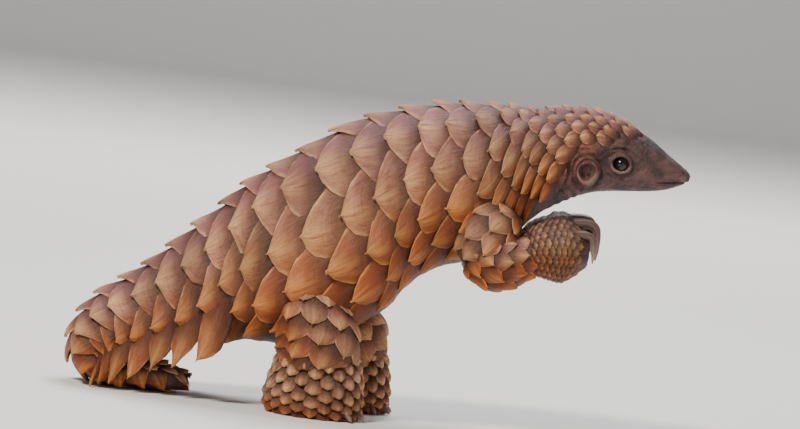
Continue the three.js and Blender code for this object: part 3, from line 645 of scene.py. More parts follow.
def horn_material(name, root, dark, mid, light, gold, painted_sky_sheen, warm_and_shade):
    """Horn: fine lines fan from the root, growth lines follow the rear edge, the ridge and tip are
    straw coloured, the rim is worn pale, faces that look up carry a painted cool sheen of reflected
    sky, those that look down are more orange and darker with painted shade, and the root, covered by
    the scale before it, is darkest with painted shade."""
    nodes = Nodes(name)
    place = nodes.add("TexCoord").outputs["Object"]
    grain = nodes.add("UVMap", uv_map="grain").outputs[0]
    fine_lines = nodes.noise(nodes.stretched(grain, (11, 0.5, 1)), 1.5, 3, 0.6)
    coarse_lines = nodes.noise(nodes.stretched(grain, (3, 0.3, 1)), 1.1, 2, 0.5)
    growth_place = nodes.add("CombineXYZ", {0: nodes.value("growth"), 1: nodes.value("hue")}).outputs[0]
    growth = nodes.noise(nodes.stretched(growth_place, (6, 7, 1)), 1.0, 3, 0.6)
    cloud = nodes.noise(place, 46, 4, 0.62)
    patches = nodes.noise(place, 17, 3, 0.6)
    specks = nodes.noise(place, 640, 2, 0.6)
    sky = nodes.value("sky")
    colour = nodes.mix(nodes.ramp(cloud, 0.32, 0.7), mid, light)
    # random orange-brown patches, the horn's own colour
    colour = nodes.mix(nodes.scaled(nodes.ramp(patches, 0.45, 0.7), 0.5), colour, warm_and_shade)
    colour = nodes.mix(nodes.scaled(nodes.ramp(nodes.value("hue"), 0.4, 1.0), 0.22), colour, gold)
    colour = nodes.mix(nodes.scaled(nodes.ramp(fine_lines, 0.5, 0.64), 0.6), colour, dark)
    colour = nodes.mix(nodes.scaled(nodes.ramp(growth, 0.5, 0.62), 0.35), colour, dark)
    # painted sheen of reflected sky on faces that look up
    colour = nodes.mix(nodes.scaled(nodes.ramp(sky, 0.15, 0.85), 0.8), colour, painted_sky_sheen)
    # painted shade: faces that look down turn darker and more orange
    colour = nodes.mix(nodes.scaled(nodes.ramp(sky, 0.3, -0.35), 0.9), colour, warm_and_shade)
    # painted shade at each scale's covered root
    colour = nodes.mix(nodes.scaled(nodes.value("root"), 0.85), colour, root)
    ridge = nodes.scaled(nodes.value("ridge"), nodes.ramp(coarse_lines, 0.25, 0.6))
    colour = nodes.mix(nodes.scaled(ridge, 0.8), colour, gold)
    rim = nodes.scaled(nodes.ramp(nodes.value("rim"), 0.5, 1.0), nodes.ramp(cloud, 0.3, 0.6))
    worn = tuple(min(1, c * 1.3 + 0.08) for c in gold)
    colour = nodes.mix(nodes.scaled(rim, 0.55), colour, worn)
    colour = nodes.mix(nodes.scaled(nodes.ramp(specks, 0.58, 0.72), 0.35), colour, dark)
    shade = nodes.math("MULTIPLY_ADD", nodes.value("tone"), 0.45, 0.72)
    grey = nodes.add("CombineColor", {0: shade, 1: shade, 2: shade}).outputs[0]
    colour = nodes.mix(1.0, colour, grey, "MULTIPLY")
    # painted shade multiplied into faces that look down
    colour = nodes.mix(nodes.ramp(sky, 0.3, -0.35), colour, UNDER_SHADE_TINT, "MULTIPLY")
    height = nodes.scaled(fine_lines, 0.45)
    for value, share in ((growth, 0.4), (coarse_lines, 0.5), (cloud, 0.5), (specks, 0.12)):
        height = nodes.math("ADD", height, nodes.scaled(value, share))
    roughness = nodes.math("MULTIPLY_ADD", fine_lines, 0.3, 0.38)
    return nodes.finish(colour, roughness, height, 1.0, 0.0024, **{"Specular IOR Level": 0.35})


def skin_material(name, dark, mid, pale, bump):
    """Bare hide: blotches of two colours, fine creases and pores, and paler, rusty, or darker with
    painted shade where the mesh's values say so."""
    nodes = Nodes(name)
    place = nodes.add("TexCoord").outputs["Object"]
    cloud = nodes.noise(place, 60, 4, 0.65)
    creases = nodes.cells(place, 330)
    folds = nodes.noise(nodes.stretched(place, (1, 1, 2.4)), 130, 4, 0.6)
    pores = nodes.noise(place, 900, 2, 0.6)
    colour = nodes.mix(nodes.ramp(cloud, 0.35, 0.68), dark, mid)
    colour = nodes.mix(nodes.scaled(nodes.ramp(folds, 0.5, 0.7), 0.4), colour, dark)
    colour = nodes.mix(nodes.scaled(nodes.ramp(pores, 0.56, 0.7), 0.3), colour, pale)
    rust = nodes.scaled(nodes.value("rust"), nodes.ramp(folds, 0.3, 0.6))
    colour = nodes.mix(rust, colour, RUST)
    colour = nodes.mix(nodes.scaled(nodes.value("pale"), 0.75), colour, pale)
    # colour of the painted shade, laid where the mesh's shade value says
    darkest = tuple(c * 0.35 for c in dark)
    colour = nodes.mix(nodes.scaled(nodes.value("shade"), 0.8), colour, darkest)
    height = nodes.scaled(nodes.ramp(creases, 0.0, 0.14), 0.35)
    height = nodes.math("ADD", height, folds)
    height = nodes.math("ADD", height, nodes.scaled(pores, 0.35))
    roughness = nodes.math("MULTIPLY_ADD", folds, 0.3, 0.36)
    return nodes.finish(colour, roughness, height, bump, 0.0012, **{"Specular IOR Level": 0.45})


def claw_material():
    """Claw horn: long fine lines, dark grey-brown with a paler worn edge."""
    nodes = Nodes("claw horn")
    along = nodes.add("UVMap", uv_map="grain").outputs[0]
    lines = nodes.noise(nodes.stretched(along, (26, 1.4, 1)), 1, 3, 0.6)
    cloud = nodes.noise(nodes.add("TexCoord").outputs["Object"], 120, 3, 0.6)
    colour = nodes.mix(nodes.ramp(lines, 0.35, 0.65), (0.06, 0.032, 0.028), (0.17, 0.095, 0.078))
    colour = nodes.mix(nodes.scaled(nodes.value("worn"), 0.8), colour, (0.33, 0.21, 0.16))
    colour = nodes.mix(nodes.scaled(nodes.ramp(cloud, 0.5, 0.7), 0.4), colour, (0.12, 0.07, 0.05))
    return nodes.finish(colour, nodes.math("MULTIPLY_ADD", cloud, 0.2, 0.24), lines, 0.5, 0.0006)


def eye_material():
    """A dark iris that falls to black in the middle, wet."""
    nodes = Nodes("eye")
    iris = nodes.ramp(nodes.value("pupil"), 0.35, 0.6)
    colour = nodes.mix(iris, (0.002, 0.0015, 0.0015), (0.012, 0.006, 0.004))
    return nodes.finish(colour, 0.08, **{"Specular IOR Level": 0.5})


def floor_material():
    """Pale matt floor with a barely visible cloudiness."""
    nodes = Nodes("studio floor")
    cloud = nodes.noise(nodes.add("TexCoord").outputs["Object"], 2.2, 3)
    colour = nodes.mix(cloud, (0.78, 0.76, 0.73), (0.8, 0.785, 0.76))
    return nodes.finish(colour, 0.75)


# root is the colour of the painted shade at each scale's covered root
horn = horn_material(
    "scale horn",
    root=(0.03, 0.01, 0.005),
    dark=(0.085, 0.03, 0.014),
    mid=(0.36, 0.125, 0.07),
    light=(0.52, 0.225, 0.15),
    gold=(0.66, 0.38, 0.14),
    painted_sky_sheen=(0.26, 0.077, 0.097),
    warm_and_shade=(0.29, 0.07, 0.01),
)
foot_horn = horn_material(
    "foot horn",
    root=(0.03, 0.012, 0.007),
    dark=(0.09, 0.036, 0.018),
    mid=(0.42, 0.17, 0.085),
    light=(0.66, 0.36, 0.22),
    gold=(0.78, 0.48, 0.24),
    painted_sky_sheen=(0.5, 0.27, 0.2),
    warm_and_shade=(0.32, 0.095, 0.03),
)
paw_horn = horn_material(
    "paw horn",
    root=(0.03, 0.013, 0.008),
    dark=(0.055, 0.026, 0.014),
    mid=(0.27, 0.115, 0.045),
    light=(0.38, 0.19, 0.085),
    gold=(0.44, 0.25, 0.1),
    painted_sky_sheen=(0.2, 0.09, 0.065),
    warm_and_shade=(0.18, 0.06, 0.018),
)
hide = skin_material(
    "hide", dark=(0.024, 0.011, 0.011), mid=(0.125, 0.052, 0.045), pale=(0.28, 0.165, 0.13), bump=1.0
)
ear_hide = skin_material(
    "ear hide", dark=(0.05, 0.02, 0.018), mid=(0.13, 0.058, 0.047), pale=(0.29, 0.16, 0.12), bump=0.7
)
claw_horn = claw_material()
eye_gloss = eye_material()

# The skin


def grid_tube(surface, last, rings, sides):
    """Rings of a surface of s and v, from its first place to its last, closed at both ends."""
    around = np.linspace(0, 2, sides, endpoint=False)
    s, v = np.meshgrid(np.linspace(0, last, rings), around, indexing="ij")
    return closed_tube(surface(s, v)[0])


def toe_bulge(root, ahead, radius):
    """A rounded toe: rings along a short line, each as wide as a circle's slice."""
    root = np.asarray(root, float)
    ahead = np.asarray(ahead, float)
    along = unit(ahead - root)
    out = unit(np.cross(along, [0, 1, 0.01]))
    other = np.cross(out, along)
    share = np.linspace(0.06, 0.94, 9)
    width = radius * np.sqrt(1 - (2 * share - 1) ** 4)
    turn = np.linspace(0, 2 * np.pi, 16, endpoint=False)
    ring = np.cos(turn)[:, None] * out + np.sin(turn)[:, None] * other
    rings = (root + (ahead - root) * share[:, None])[:, None] + ring[None] * width[:, None, None]
    return closed_tube(rings)


def hind_claw_at(side, angle, reach, height):
    """A place by a hind foot's front rim, at an angle from straight ahead."""
    x, y, _, long, broad = HINDFOOT[3]
    turn = math.radians(angle)
    ahead = x + STEP[side] + (long + reach) * math.cos(turn)
    return [ahead, y + (broad + reach) * math.sin(turn), height]


def flesh_shapes():
    """Closed shapes of body and limbs, which the skin then covers as one."""
    shapes = [grid_tube(body_surface, LAST_PLACE, LAST_PLACE * 5, 96)]
    for side in ("left", "right"):
        limbs = []
        for part in (UPPER_ARM, FOREARM, FOREPAW):
            surface = tube_surface(part["path"], part["radii"])
            limbs.append(grid_tube(surface, len(part["path"]) - 1, 24, 40))
        leg = np.asarray(HINDLEG["path"], float) + [STEP[side], 0, 0]
        limbs.append(grid_tube(tube_surface(leg, HINDLEG["radii"]), len(leg) - 1, 24, 48))
        rings = np.asarray(HINDFOOT, float)
        rings[:, 0] += STEP[side]
        limbs.append(grid_tube(ring_surface(rings), len(rings) - 1, 24, 48))
        for claw in FORE_CLAWS.values():
            root = np.asarray(claw["root"], float)
            ahead = np.asarray(claw["bend"], float) - root
            limbs.append(toe_bulge(root - ahead * 0.7, root + ahead * 0.42, claw["radius"] * 1.5))
        for angle in HIND_CLAWS["angles"]:
            back = hind_claw_at(side, angle, -20, 11)
            limbs.append(toe_bulge(back, hind_claw_at(side, angle, 4, 8.2), 8))
        for points, faces in limbs:
            shapes.append((points, faces) if SIDE[side] > 0 else mirrored(points, faces))
    return shapes


def mesh_arrays(mesh):
    """Points of a mesh in millimetres and its normals."""
    points = np.empty(len(mesh.vertices) * 3, np.float32)
    mesh.vertices.foreach_get("co", points)
    normals = np.empty(len(mesh.vertices) * 3, np.float32)
    mesh.vertices.foreach_get("normal", normals)
    return points.reshape(-1, 3).astype(float) / MM, normals.reshape(-1, 3).astype(float)


def apply_modifier(piece, kind, **settings):
    """The piece's mesh with one modifier worked in."""
    modifier = piece.modifiers.new("step", kind)
    for key, value in settings.items():
        setattr(modifier, key, value)
    depsgraph = bpy.context.evaluated_depsgraph_get()
    done = bpy.data.meshes.new_from_object(piece.evaluated_get(depsgraph))
    piece.modifiers.clear()
    old = piece.data
    piece.data = done
    bpy.data.meshes.remove(old)


def head_half_width(x):
    """Half the skin's width where its widest part is at x."""
    s = np.linspace(0, PLACES["nape"], 400)
    centre = column("bottom_x", s) + (column("top_x", s) - column("bottom_x", s)) * column("wide", s)
    return float(np.interp(-x, -centre, column("half", s) - column("coat", s)))


def sculpt_head(points, normals):
    """How far each point of the skin moves out, how pale and rusty it is, and how dark: painted shade
    in the brow fold, behind the ear, in the mouth line, inside the eye, in the nostrils and in the
    ear's hollow, and a darker top to the muzzle. Around each eye a hollow, two thick lids and a brow
    fold; a hollow round each ear; pits for the nostrils; the line of the mouth; and folds that grow
    weaker away from them."""
    x, y, z = points[:, 0], np.abs(points[:, 1]), points[:, 2]
    on_head = smooth(150, 175, x)
    side = smooth(0.25, 0.7, np.abs(normals[:, 1])) * on_head
    dx, dz = x - EYE["x"], z - EYE["z"]
    eye_far = np.hypot(dx, dz * 1.06)
    angle = np.arctan2(dz, dx)
    opening = 6.9 + 0.5 * np.cos(2 * angle)
    out = -3.4 * hump(eye_far, 13) * side
    out += 2.8 * hump(eye_far - opening - 2.2, 1.9) * side
    out -= 7.5 * smooth(opening + 1.0, opening - 1.4, eye_far) * side
    out -= 1.1 * hump(eye_far - opening - 6.4, 1.1) * side * smooth(-0.4, 0.5, np.abs(np.sin(angle)))
    out -= 0.6 * hump(eye_far - opening - 9.6, 1.2) * side
    brow = hump(dz - 15.5 + 0.02 * dx**2, 1.3) * hump(dx + 2, 15) * side
    out -= 1.5 * brow
    out += 1.2 * hump(dz - 12.5 + 0.02 * dx**2, 2.2) * hump(dx + 2, 14) * side
    ex, ez = x - EAR["x"], z - EAR["z"]
    ear_far = np.hypot(ex / EAR["broad"], ez / EAR["long"])
    out -= 5 * smooth(1.25, 0.6, ear_far) * side
    out -= 2.2 * hump(ear_far - 1.5, 0.16) * side
    behind = hump(ex + 17 + 0.015 * ez**2, 2.0) * hump(ez, 22) * side
    out -= 2.4 * behind
    nostril_far = np.sqrt((x - NOSTRIL["x"]) ** 2 + (y - NOSTRIL["y"]) ** 2 + (z - NOSTRIL["z"]) ** 2)
    out -= 2.4 * hump(nostril_far, NOSTRIL["radius"])
    out += 0.5 * hump(nostril_far - 2.9, 0.9)
    mouth_z = 273.2 - 0.07 * (298 - x) - 0.0012 * (298 - x) ** 2
    upright = smooth(0.1, 0.5, np.hypot(normals[:, 0], normals[:, 1]))
    mouth = hump(z - mouth_z, 0.75) * smooth(262, 270, x) * upright
    out -= 1.25 * mouth
    out += 0.55 * hump(z - mouth_z - 2.3, 1.3) * smooth(262, 275, x)
    cheek = np.sin(2.2 * (eye_far * 0.62 + 2.2 * noise(points, 40, 5)))
    out += 0.28 * cheek * smooth(34, 16, eye_far) * smooth(9, 14, eye_far) * side
    neck_folds = np.sin(0.62 * x + 0.35 * z + 1.4 * noise(points, 34, 8))
    out += 0.5 * neck_folds * smooth(205, 180, x) * on_head * smooth(300, 270, z)
    out += 0.25 * noise(points, 7, 9) * on_head
    lid = hump(eye_far - opening - 2.4, 1.3) * side
    pale = lid * (smooth(0.2, -0.6, np.sin(angle)) + 0.12)
    pale += 0.5 * hump(np.hypot(x - 292, z - 276), 3) * smooth(0.3, 0.8, np.abs(normals[:, 1]))
    # painted shade in the brow fold, behind the ear, in the mouth line, inside the eye opening, the
    # nostrils and the ear's hollow
    shade = brow + behind + mouth * 0.9 + smooth(opening + 0.6, opening - 1, eye_far) * side
    shade += 0.8 * hump(nostril_far, 1.6)
    shade += (0.8 * hump(ear_far - 1.45, 0.12) + smooth(1, 0.4, ear_far)) * side
    # darker on top of the muzzle
    shade += 0.55 * smooth(268, 292, x) * smooth(-0.1, 0.6, normals[:, 2])
    rust = smooth(206, 192, x) * smooth(252, 270, z) * smooth(0.8, 1.2, ear_far) * on_head
    return out, {"pale": np.clip(pale, 0, 1), "shade": np.clip(shade, 0, 1), "rust": rust}


# The skin's mesh, in metres: its voxels, and where on the head its edges are halved and halved again
VOXEL = 0.0027
FINER_FROM = (0.16, 0.196)
HEAD_ABOVE = 0.235


def make_skin():
    """One skin: all flesh shapes joined by a fine voxel mesh, smoothed, cut finer on the head, and
    moved along its normals by the head's sculpted depth and small folds elsewhere."""
    points, faces = [], []
    start = 0
    for shape_points, shape_faces in flesh_shapes():
        points.append(shape_points)
        faces.extend([[corner + start for corner in face] for face in shape_faces])
        start += len(shape_points)
    skin = new_object("skin", np.concatenate(points), faces, hide)
    apply_modifier(skin, "REMESH", mode="VOXEL", voxel_size=VOXEL, adaptivity=0, use_smooth_shade=True)
    apply_modifier(skin, "CORRECTIVE_SMOOTH", iterations=6, smooth_type="SIMPLE", use_only_smooth=True)

    work = bmesh.new()
    work.from_mesh(skin.data)
    for low in FINER_FROM:
        edges = [
            edge
            for edge in work.edges
            if min(v.co.x for v in edge.verts) > low and edge.verts[0].co.z > HEAD_ABOVE
        ]
        bmesh.ops.subdivide_edges(work, edges=edges, cuts=1, use_grid_fill=True, smooth=0.6)
    bmesh.ops.triangulate(work, faces=[face for face in work.faces if len(face.verts) > 4])
    work.to_mesh(skin.data)
    work.free()
    skin.data.update()
    points, normals = mesh_arrays(skin.data)
    out, values = sculpt_head(points, normals)
    elsewhere = 1 - smooth(150, 175, points[:, 0])
    out += elsewhere * 0.5 * noise(points, 16, 3)
    folded = points + normals * out[:, None]
    folded[:, 2] = np.maximum(folded[:, 2], 0.2)
    skin.data.vertices.foreach_set("co", (folded * MM).astype(np.float32).ravel())
    skin.data.shade_smooth()
    skin.data.update()
    for name, value in values.items():
        add_value(skin, name, value)
    skin.data.materials.clear()
    skin.data.materials.append(hide)
    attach(skin, "root")
    others = ("eye", "ear", "foreclaw", "hindclaw")
    flesh = [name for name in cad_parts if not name.startswith(others)]
    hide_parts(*flesh)


# Eyes, ears and claws


def make_eye(side):
    """A ball with a slightly raised front; the dark middle looks out to the side and ahead."""
    around = np.linspace(0, 2 * np.pi, 40, endpoint=False)
    turn, tilt = np.meshgrid(around, np.linspace(0.02, np.pi - 0.02, 30))
    ball = np.stack([np.sin(tilt) * np.cos(turn), np.cos(tilt), np.sin(tilt) * np.sin(turn)], -1)
    front = hump(tilt, 0.55)[..., None]
    y = head_half_width(EYE["x"]) + EYE["proud"] - EYE["radius"] - 0.4
    centre = np.array([EYE["x"], y, EYE["z"]])
    rings = centre + ball * (EYE["radius"] * 0.97 + 0.7 * front)
    points, faces = closed_tube(rings)
    if SIDE[side] < 0:
        points, faces = mirrored(points, faces)
    faces = [face[::-1] for face in faces]
    eye = new_object(f"eyeball_{side}", points, faces, eye_gloss)
    add_value(eye, "pupil", tilt.ravel())
    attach(eye, "root")
    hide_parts(f"eye_{side}")


# The ear from its foot over the rim into the bowl: share of the way, and distance from its middle
# as a share of the ear's half size, or height over the head in millimetres
EAR_RADIUS = [(0, 1.3), (0.25, 1.1), (0.42, 0.98), (0.55, 0.8), (0.7, 0.6), (0.86, 0.34), (1, 0.02)]
EAR_HEIGHT = [(0, -3.2), (0.25, 0.4), (0.42, 3.6), (0.5, 3.9), (0.62, 0.6), (0.8, -3.8), (1, -4.6)]


def make_ear(side):
    """A fleshy cup: from its foot in the skin the wall rises to a thick rolled rim, then falls into
    a bowl with a small lobe in it. The rim is thickest below and behind."""
    around = np.linspace(0, 2 * np.pi, 56, endpoint=False)
    share, turn = np.meshgrid(np.linspace(0, 1, 36), around, indexing="ij")
    radius = np.interp(share, *np.transpose(EAR_RADIUS))
    height = np.interp(share, *np.transpose(EAR_HEIGHT))
    thick = 1 + 0.5 * np.cos(turn + 2.2)
    wave = 0.8 * np.sin(3 * turn + 0.7) + 0.5 * np.sin(5 * turn)
    rim = hump(share - 0.46, 0.14)
    height = height + rim * (wave + 1.6 * (thick - 1))
    lobe = np.hypot(radius * np.cos(turn) - 0.28, radius * np.sin(turn) + 0.1)
    height = height + 2.6 * hump(lobe, 0.24)
    centre = np.array([EAR["x"], head_half_width(EAR["x"]) + 0.4, EAR["z"]])
    radius = radius * (1 + 0.07 * np.sin(2 * turn + 1) + 0.04 * np.sin(3 * turn))
    points = np.stack(
        [
            centre[0] + EAR["broad"] * radius * np.cos(turn) * 0.98,
            centre[1] + height + 0.9 * np.cos(turn),
            centre[2] + EAR["long"] * radius * np.sin(turn) * 0.98,
        ],
        -1,
    )
    points, faces = closed_tube(points)
    points = points + np.array([0, 1, 0]) * (0.3 * noise(points, 5, 21))[:, None]
    if SIDE[side] < 0:
        points, faces = mirrored(points, faces)
    ear = new_object(f"earcup_{side}", points, faces, ear_hide)
    add_value(ear, "pale", np.clip(rim * smooth(0.6, -0.6, np.sin(turn)), 0, 1))
    # painted shade in the bowl of the ear
    add_value(ear, "shade", smooth(0.62, 0.86, share))
    add_value(ear, "rust", 0.12 * smooth(0.5, -0.2, np.cos(turn)) * np.ones_like(share))
    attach(ear, "root")
    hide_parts(f"ear_{side}")


def claw_rings(root, bend, tip, radius, rings=26, sides=18):
    """A curved claw: a rounded triangle, flat below, carried along a smooth path through root, bend
    and tip, and narrowing to the tip as the square root of what is left."""
    path = np.asarray([root, bend, tip], float)
    s = np.linspace(0, 2, rings)
    centre = through(path, s)
    along = unit(np.gradient(centre, axis=0))
    curl_axis = unit(np.cross(path[1] - path[0], path[2] - path[1]))
    across = unit(np.cross(along, curl_axis))
    sideways = np.cross(along, across)
    width = radius * np.interp(s, [0, 0.35, 1.1, 1.7, 2], [1.02, 1, 0.84, 0.44, 0.08])
    turn = np.linspace(0, 2 * np.pi, sides, endpoint=False)
    up = np.cos(turn)
    up = np.where(up < 0, up * 0.72, up * 1.06)
    out = np.sin(turn) * (0.94 + 0.12 * np.cos(turn))
    ring = up[:, None] * across[:, None] + out[:, None] * sideways[:, None]
    return centre[:, None] + ring * width[:, None, None], s, turn


def make_claw(name, node, side, root, bend, tip, radius):
    """A claw, worn pale at its tip and along the edge below."""
    rings, s, turn = claw_rings(root, bend, tip, radius)
    points, faces = closed_tube(rings)
    if SIDE[side] < 0:
        points, faces = mirrored(points, faces)
    claw = new_object(name, points, faces, claw_horn)
    s, turn = s[:, None], turn[None]
    add_value(claw, "worn", smooth(1.1, 2.0, s) + 0.5 * (np.cos(turn) < -0.4) * smooth(0.6, 1.2, s))
    add_map(claw, "grain", np.stack(np.broadcast_arrays(turn / 6.3, s), -1).reshape(-1, 2))
    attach(claw, "root")
    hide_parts(node)


def make_claws(side):
    """Three claws of a forefoot and four of a hind foot."""
    for name, claw in FORE_CLAWS.items():
        make_claw(f"claw_fore_{name}_{side}", f"foreclaw_{name}_{side}", side, **claw)
    inset, length, radius, height = (
        HIND_CLAWS[key] for key in ("inset", "length", "radius", "height")
    )
    for i, angle in enumerate(HIND_CLAWS["angles"]):
        make_claw(
            f"claw_hind_{i + 1}_{side}",
            f"hindclaw_{i + 1}_{side}",
            side,
            hind_claw_at(side, angle, -inset, height + 1.6),
            hind_claw_at(side, angle, length * 0.45 - inset, height + 0.8),
            hind_claw_at(side, angle, length - inset, radius * 0.3 + 0.4),
            radius,
        )


# Scales of each part


# Rows of scales to each side, and the highest row that goes on round the bend of the tail
MOST_ROWS = 9
BEND_ROWS = 2


def body_lattice(first, last):
    """Tips of the body's scales between two places: every other row is half a scale further on.
    A scale is left out where the middle of it would lie on bare skin."""
    n, row = [], []
    low, high = np.interp([first, last], fine, ridge_count)
    for k in range(-MOST_ROWS, MOST_ROWS + 1):
        count = np.arange(math.floor(low) - 1, math.ceil(high) + 2) + (0.5 if k % 2 else 0)
        s = place_at(count)
        ahead = place_at(count - 0.9)
        inside = (s >= first) & (s < last) & (ahead > PLACES["cheek"] - 0.5)
        inside &= row_share(s, abs(k)) <= column("cover", s) + 0.02
        inside &= row_share(ahead, abs(k)) <= column("cover", ahead) + 0.02
        inside &= count < ridge_count[-1] + 0.4
        inside &= (abs(k) <= BEND_ROWS) | (s < SKIRT_LAST) | (s > PLACES["bend end"])
        n.append(count[inside])
        row.append(np.full(inside.sum(), k))
    return np.concatenate(n), np.concatenate(row)


def body_place(n, row):
    """Place along the body and share of half the girth, from numbers of the lattice."""
    s = place_at(n)
    return s, np.clip(row_share(s, row), -1.2, 1.2)


def skirt_place(n, row):
    """Like body_place, but the last row is drawn down to the skirt's end."""
    s = place_at(n)
    drawn = row + SKIRT_HANG * np.sign(row) * smooth(EDGE_ROW - 1, EDGE_ROW, np.abs(row))
    return s, row_share(s, drawn)


def ridge_bend(s):
    """How far below the middle the keel starts: on the flanks the keels lie level."""
    return 0.75 * flank_share(s)


def skirt_turn(s, _):
    """Scales of the edge row turn downwards over the first length of the tail."""
    return 1.2 * smooth(PLACES["tail root"] - 0.5, PLACES["tail root"] + 0.6, s)


def tail_turn(s, row):
    """Scales beside the ridge go on pointing down where the tail bends under."""
    return -0.9 * smooth(PLACES["bend"], PLACES["bend end"], s) * np.minimum(np.abs(row), 1)


def body_lift(s):
    """Height of a scale's tip over the skin."""
    return column("coat", s) * 1.45 + 0.7


def skirt_part(s, row):
    """Which scales belong to the hanging edge row of the tail."""
    return (np.abs(row) == EDGE_ROW) & (s > SKIRT_FIRST) & (s < SKIRT_LAST)


# The coat's pieces along the body, each from one place to the next
COAT_PLACES = (
    "cheek", "nape", "shoulder", "withers", "ribs", "back", "hip", "mid tail", "bend", "tip"
)
# Shapes of the body's scales
NECK_SCALE = {"point": 2.0, "full": 0.65, "half": 0.85}
FLANK_SCALE = {"half": 0.8, "length": 1.65, "point": 1.95, "full": 0.74, "bend": ridge_bend}
TAIL_SCALE = {"point": 1.4, "full": 0.85, "keel": 2.0, "half": 0.86, "turn": tail_turn}
SKIRT_SCALE = {"point": 1.25, "full": 1.0, "length": 1.5, "half": 0.62, "turn": skirt_turn}


def make_body_scales():
    """The coat of head, body and tail, in pieces along its length."""
    for first, last in zip(COAT_PLACES, COAT_PLACES[1:]):
        low = 0 if first == "cheek" else PLACES[first]
        n, row = body_lattice(low, PLACES[last] + (0.5 if last == "tip" else 0))
        s = place_at(n)
        edge = skirt_part(s, row)
        tail = s > PLACES["hip"]
        neck = s < PLACES["shoulder"] + 0.3
        groups = [
            (neck, body_place, body_surface, NECK_SCALE),
            (~edge & ~tail & ~neck, body_place, body_surface, FLANK_SCALE),
            (~edge & tail, body_place, body_surface, TAIL_SCALE),
            (edge, skirt_place, skirt_surface, SKIRT_SCALE),
        ]
        parts = [
            Scales(n[chosen], row[chosen], place, surface, lift=body_lift, ratio=body_ratio, **shape)
            for chosen, place, surface, shape in groups
            if chosen.any()
        ]
        parts[0].build(f"scales_{first.replace(' ', '_')}", horn, *parts[1:])


def limb_lattice(first, last, rows):
    """Staggered tips on a limb from one count to another, in rows either side of its outer line."""
    n, row = [], []
    for k in range(-rows, rows + 1):
        count = np.arange(first, last, 1.0) + (0.5 if k % 2 else 0)
        n.append(count)
        row.append(np.full(len(count), k))
    return np.concatenate(n), np.concatenate(row)


# Coats of the limbs: distances of scales and rows as the limb's surface counts them, rows to each
# side, first and last scale, and the shape of a scale
LIMB_COATS = {
    "upper_arm": {
        "pitch": 0.58,
        "row": 0.25,
        "rows": 3,
        "range": (0.9, 3.7),
        "turn": 0.45,
        "material": horn,
        "shape": {"lift": 3.4, "thick": 1.4, "length": 1.65, "half": 0.8, "point": 1.8, "full": 0.75},
    },
    "forearm": {
        "pitch": 0.45,
        "row": 0.2,
        "rows": 4,
        "range": (0.9, 4.6),
        "turn": 0.4,
        "material": horn,
        "shape": {"lift": 3.2, "thick": 1.2, "length": 1.6, "half": 0.8, "point": 1.8, "full": 0.75},
    },
    "forepaw": {
        "pitch": 0.3,
        "row": 0.1,
        "rows": 6,
        "range": (1.2, 8.4),
        "turn": 0.1,
        "material": paw_horn,
        "shape": {
            "lift": 0.9, "thick": 0.7, "length": 1.3, "half": 0.72, "crown": 0.7, "keel": 0.5,
            "point": 2.0, "full": 0.6, "grid": SMALL,
        },
    },
    "hindleg": {
        "pitch": 0.85,
        "row": 0.2,
        "rows": 4,
        "range": (0.5, 3.8),
        "turn": 0.45,
        "material": horn,
        "shape": {"lift": 3.8, "thick": 1.6, "length": 1.6, "half": 0.82, "point": 1.8, "full": 0.75},
    },
    "hindfoot": {
        "pitch": 0.78,
        "row": 0.095,
        "rows": 10,
        "range": (0.5, 5.4),
        "turn": 0.0,
        "material": foot_horn,
        "shape": {
            "lift": 2.6, "thick": 1.6, "length": 1.08, "half": 0.64, "crown": 4.6, "keel": 1.2,
            "point": 3.2, "full": 0.5, "grid": SMALL,
        },
    },
}


def make_limb_scales(side):
    """The coats of one side's limbs; their tips point back and down."""
    step = STEP[side]
    surfaces = {
        "upper_arm": tube_surface(UPPER_ARM["path"], UPPER_ARM["radii"]),
        "forearm": tube_surface(FOREARM["path"], FOREARM["radii"]),
        "forepaw": tube_surface(FOREPAW["path"], FOREPAW["radii"]),
        "hindleg": tube_surface(np.asarray(HINDLEG["path"]) + [step, 0, 0], HINDLEG["radii"]),
        "hindfoot": ring_surface(np.asarray(HINDFOOT) + [step, 0, 0, 0, 0]),
    }
    for name, coat in LIMB_COATS.items():
        n, row = limb_lattice(*coat["range"], coat["rows"])

        def place(count, r, coat=coat):
            return count * coat["pitch"], r * coat["row"]

        def turn(s, r, coat=coat):
            return coat["turn"] * np.where(r < 0, -1, 1) + 0 * s

        scales = Scales(n, row, place, surfaces[name], turn=turn, **coat["shape"])
        if SIDE[side] < 0:
            scales.mirror()
        scales.build(f"scales_{name}_{side}", coat["material"])


# Studio


# The studio, in metres: the floor's ends and half width, the radius of the curve that takes it up
# to the backdrop, and the backdrop's top
FLOOR = {"near": -20, "far": 14, "half": 20, "bend": 3, "top": 9}
# Lights: place, size, power, colour and the place that they face
LIGHTS = {
    "key": ((-1.3, -1.9, 2.5), 0.6, 120, (1, 0.96, 0.9), CAMERA_AIM),
    "top": ((0.3, 1.0, 2.6), 1.4, 74, (0.92, 0.95, 1), CAMERA_AIM),
    "fill": ((2.4, -2.2, 0.7), 1.8, 16, (1, 0.93, 0.86), CAMERA_AIM),
    "backdrop": ((0, 4, 5), 3, 620, (1, 0.99, 0.97), (0, 9, 0)),
}


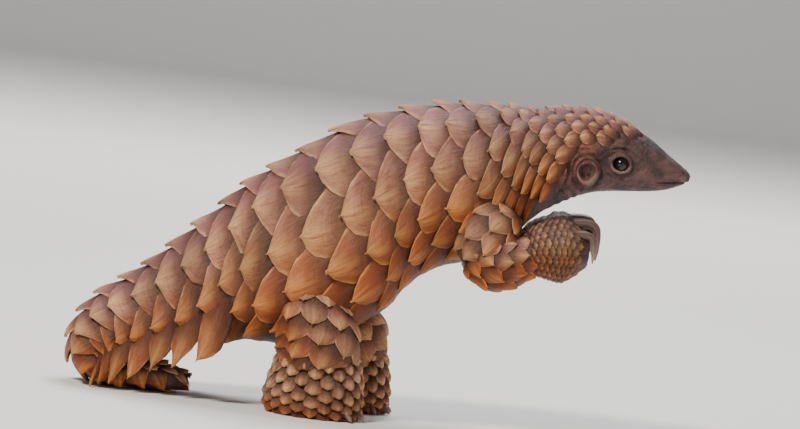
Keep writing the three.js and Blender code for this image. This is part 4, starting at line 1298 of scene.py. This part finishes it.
def make_floor():
    """A pale sheet: flat under the animal, then curving up behind it as a quarter circle."""
    bend, far = FLOOR["bend"], FLOOR["far"]
    flat = np.array([[FLOOR["near"], 0], [far, 0]])
    turn = np.linspace(0, np.pi / 2, 24)
    curve = np.stack([far + bend * np.sin(turn), bend * (1 - np.cos(turn))], -1)
    profile = np.concatenate([flat, curve[1:], [[far + bend, FLOOR["top"]]]])
    x = np.array([[-FLOOR["half"], FLOOR["half"]]])
    points = np.stack(np.broadcast_arrays(x, profile[:, :1], profile[:, 1:]), -1)
    faces = strip_faces(len(profile), 2)[:, ::-1]
    floor = new_object("floor", points.reshape(-1, 3) / MM, faces, floor_material())


def make_light(name, place, size, power, colour, aim):
    """A square soft light."""
    light = bpy.data.lights.new(name, "AREA")
    light.size = size
    light.energy = power
    light.color = colour
    lamp = bpy.data.objects.new(name, light)
    bpy.context.scene.collection.objects.link(lamp)
    lamp.location = place
    direction = Vector(aim) - Vector(place)
    lamp.rotation_euler = direction.to_track_quat("-Z", "Y").to_euler()


def make_camera():
    """Looks at the animal's right side from slightly above, rolled so that the ground falls to the
    right; one millimetre at the middle plane is one pixel."""
    ahead = np.array([0, math.cos(CAMERA_RISE), -math.sin(CAMERA_RISE)])
    right = np.array([math.cos(GROUND_SLOPE), 0, math.sin(GROUND_SLOPE)])
    right = unit(right - ahead * (right @ ahead))
    up = np.cross(right, ahead)
    data = bpy.data.cameras.new("camera")
    data.lens = 180
    data.sensor_width = 36
    data.clip_end = 50
    camera = bpy.data.objects.new("camera", data)
    bpy.context.scene.collection.objects.link(camera)
    matrix = np.eye(4)
    matrix[:3, 0], matrix[:3, 1], matrix[:3, 2] = right, up, -ahead
    matrix[:3, 3] = CAMERA_AIM - ahead * CAMERA_DISTANCE
    camera.matrix_world = Matrix(matrix.tolist())
    bpy.context.scene.camera = camera


def make_studio():
    """Floor, camera, lights and a dim even light from all round."""
    make_floor()
    make_camera()
    for name, light in LIGHTS.items():
        make_light(name, *light)
    world = bpy.data.worlds.new("studio")
    bpy.context.scene.world = world
    world.use_nodes = True
    background = world.node_tree.nodes["Background"]
    background.inputs[0].default_value = (0.9, 0.92, 0.95, 1)
    background.inputs[1].default_value = 0.26


make_studio()
make_skin()
make_body_scales()
for side in ("left", "right"):
    make_eye(side)
    make_ear(side)
    make_claws(side)
    make_limb_scales(side)
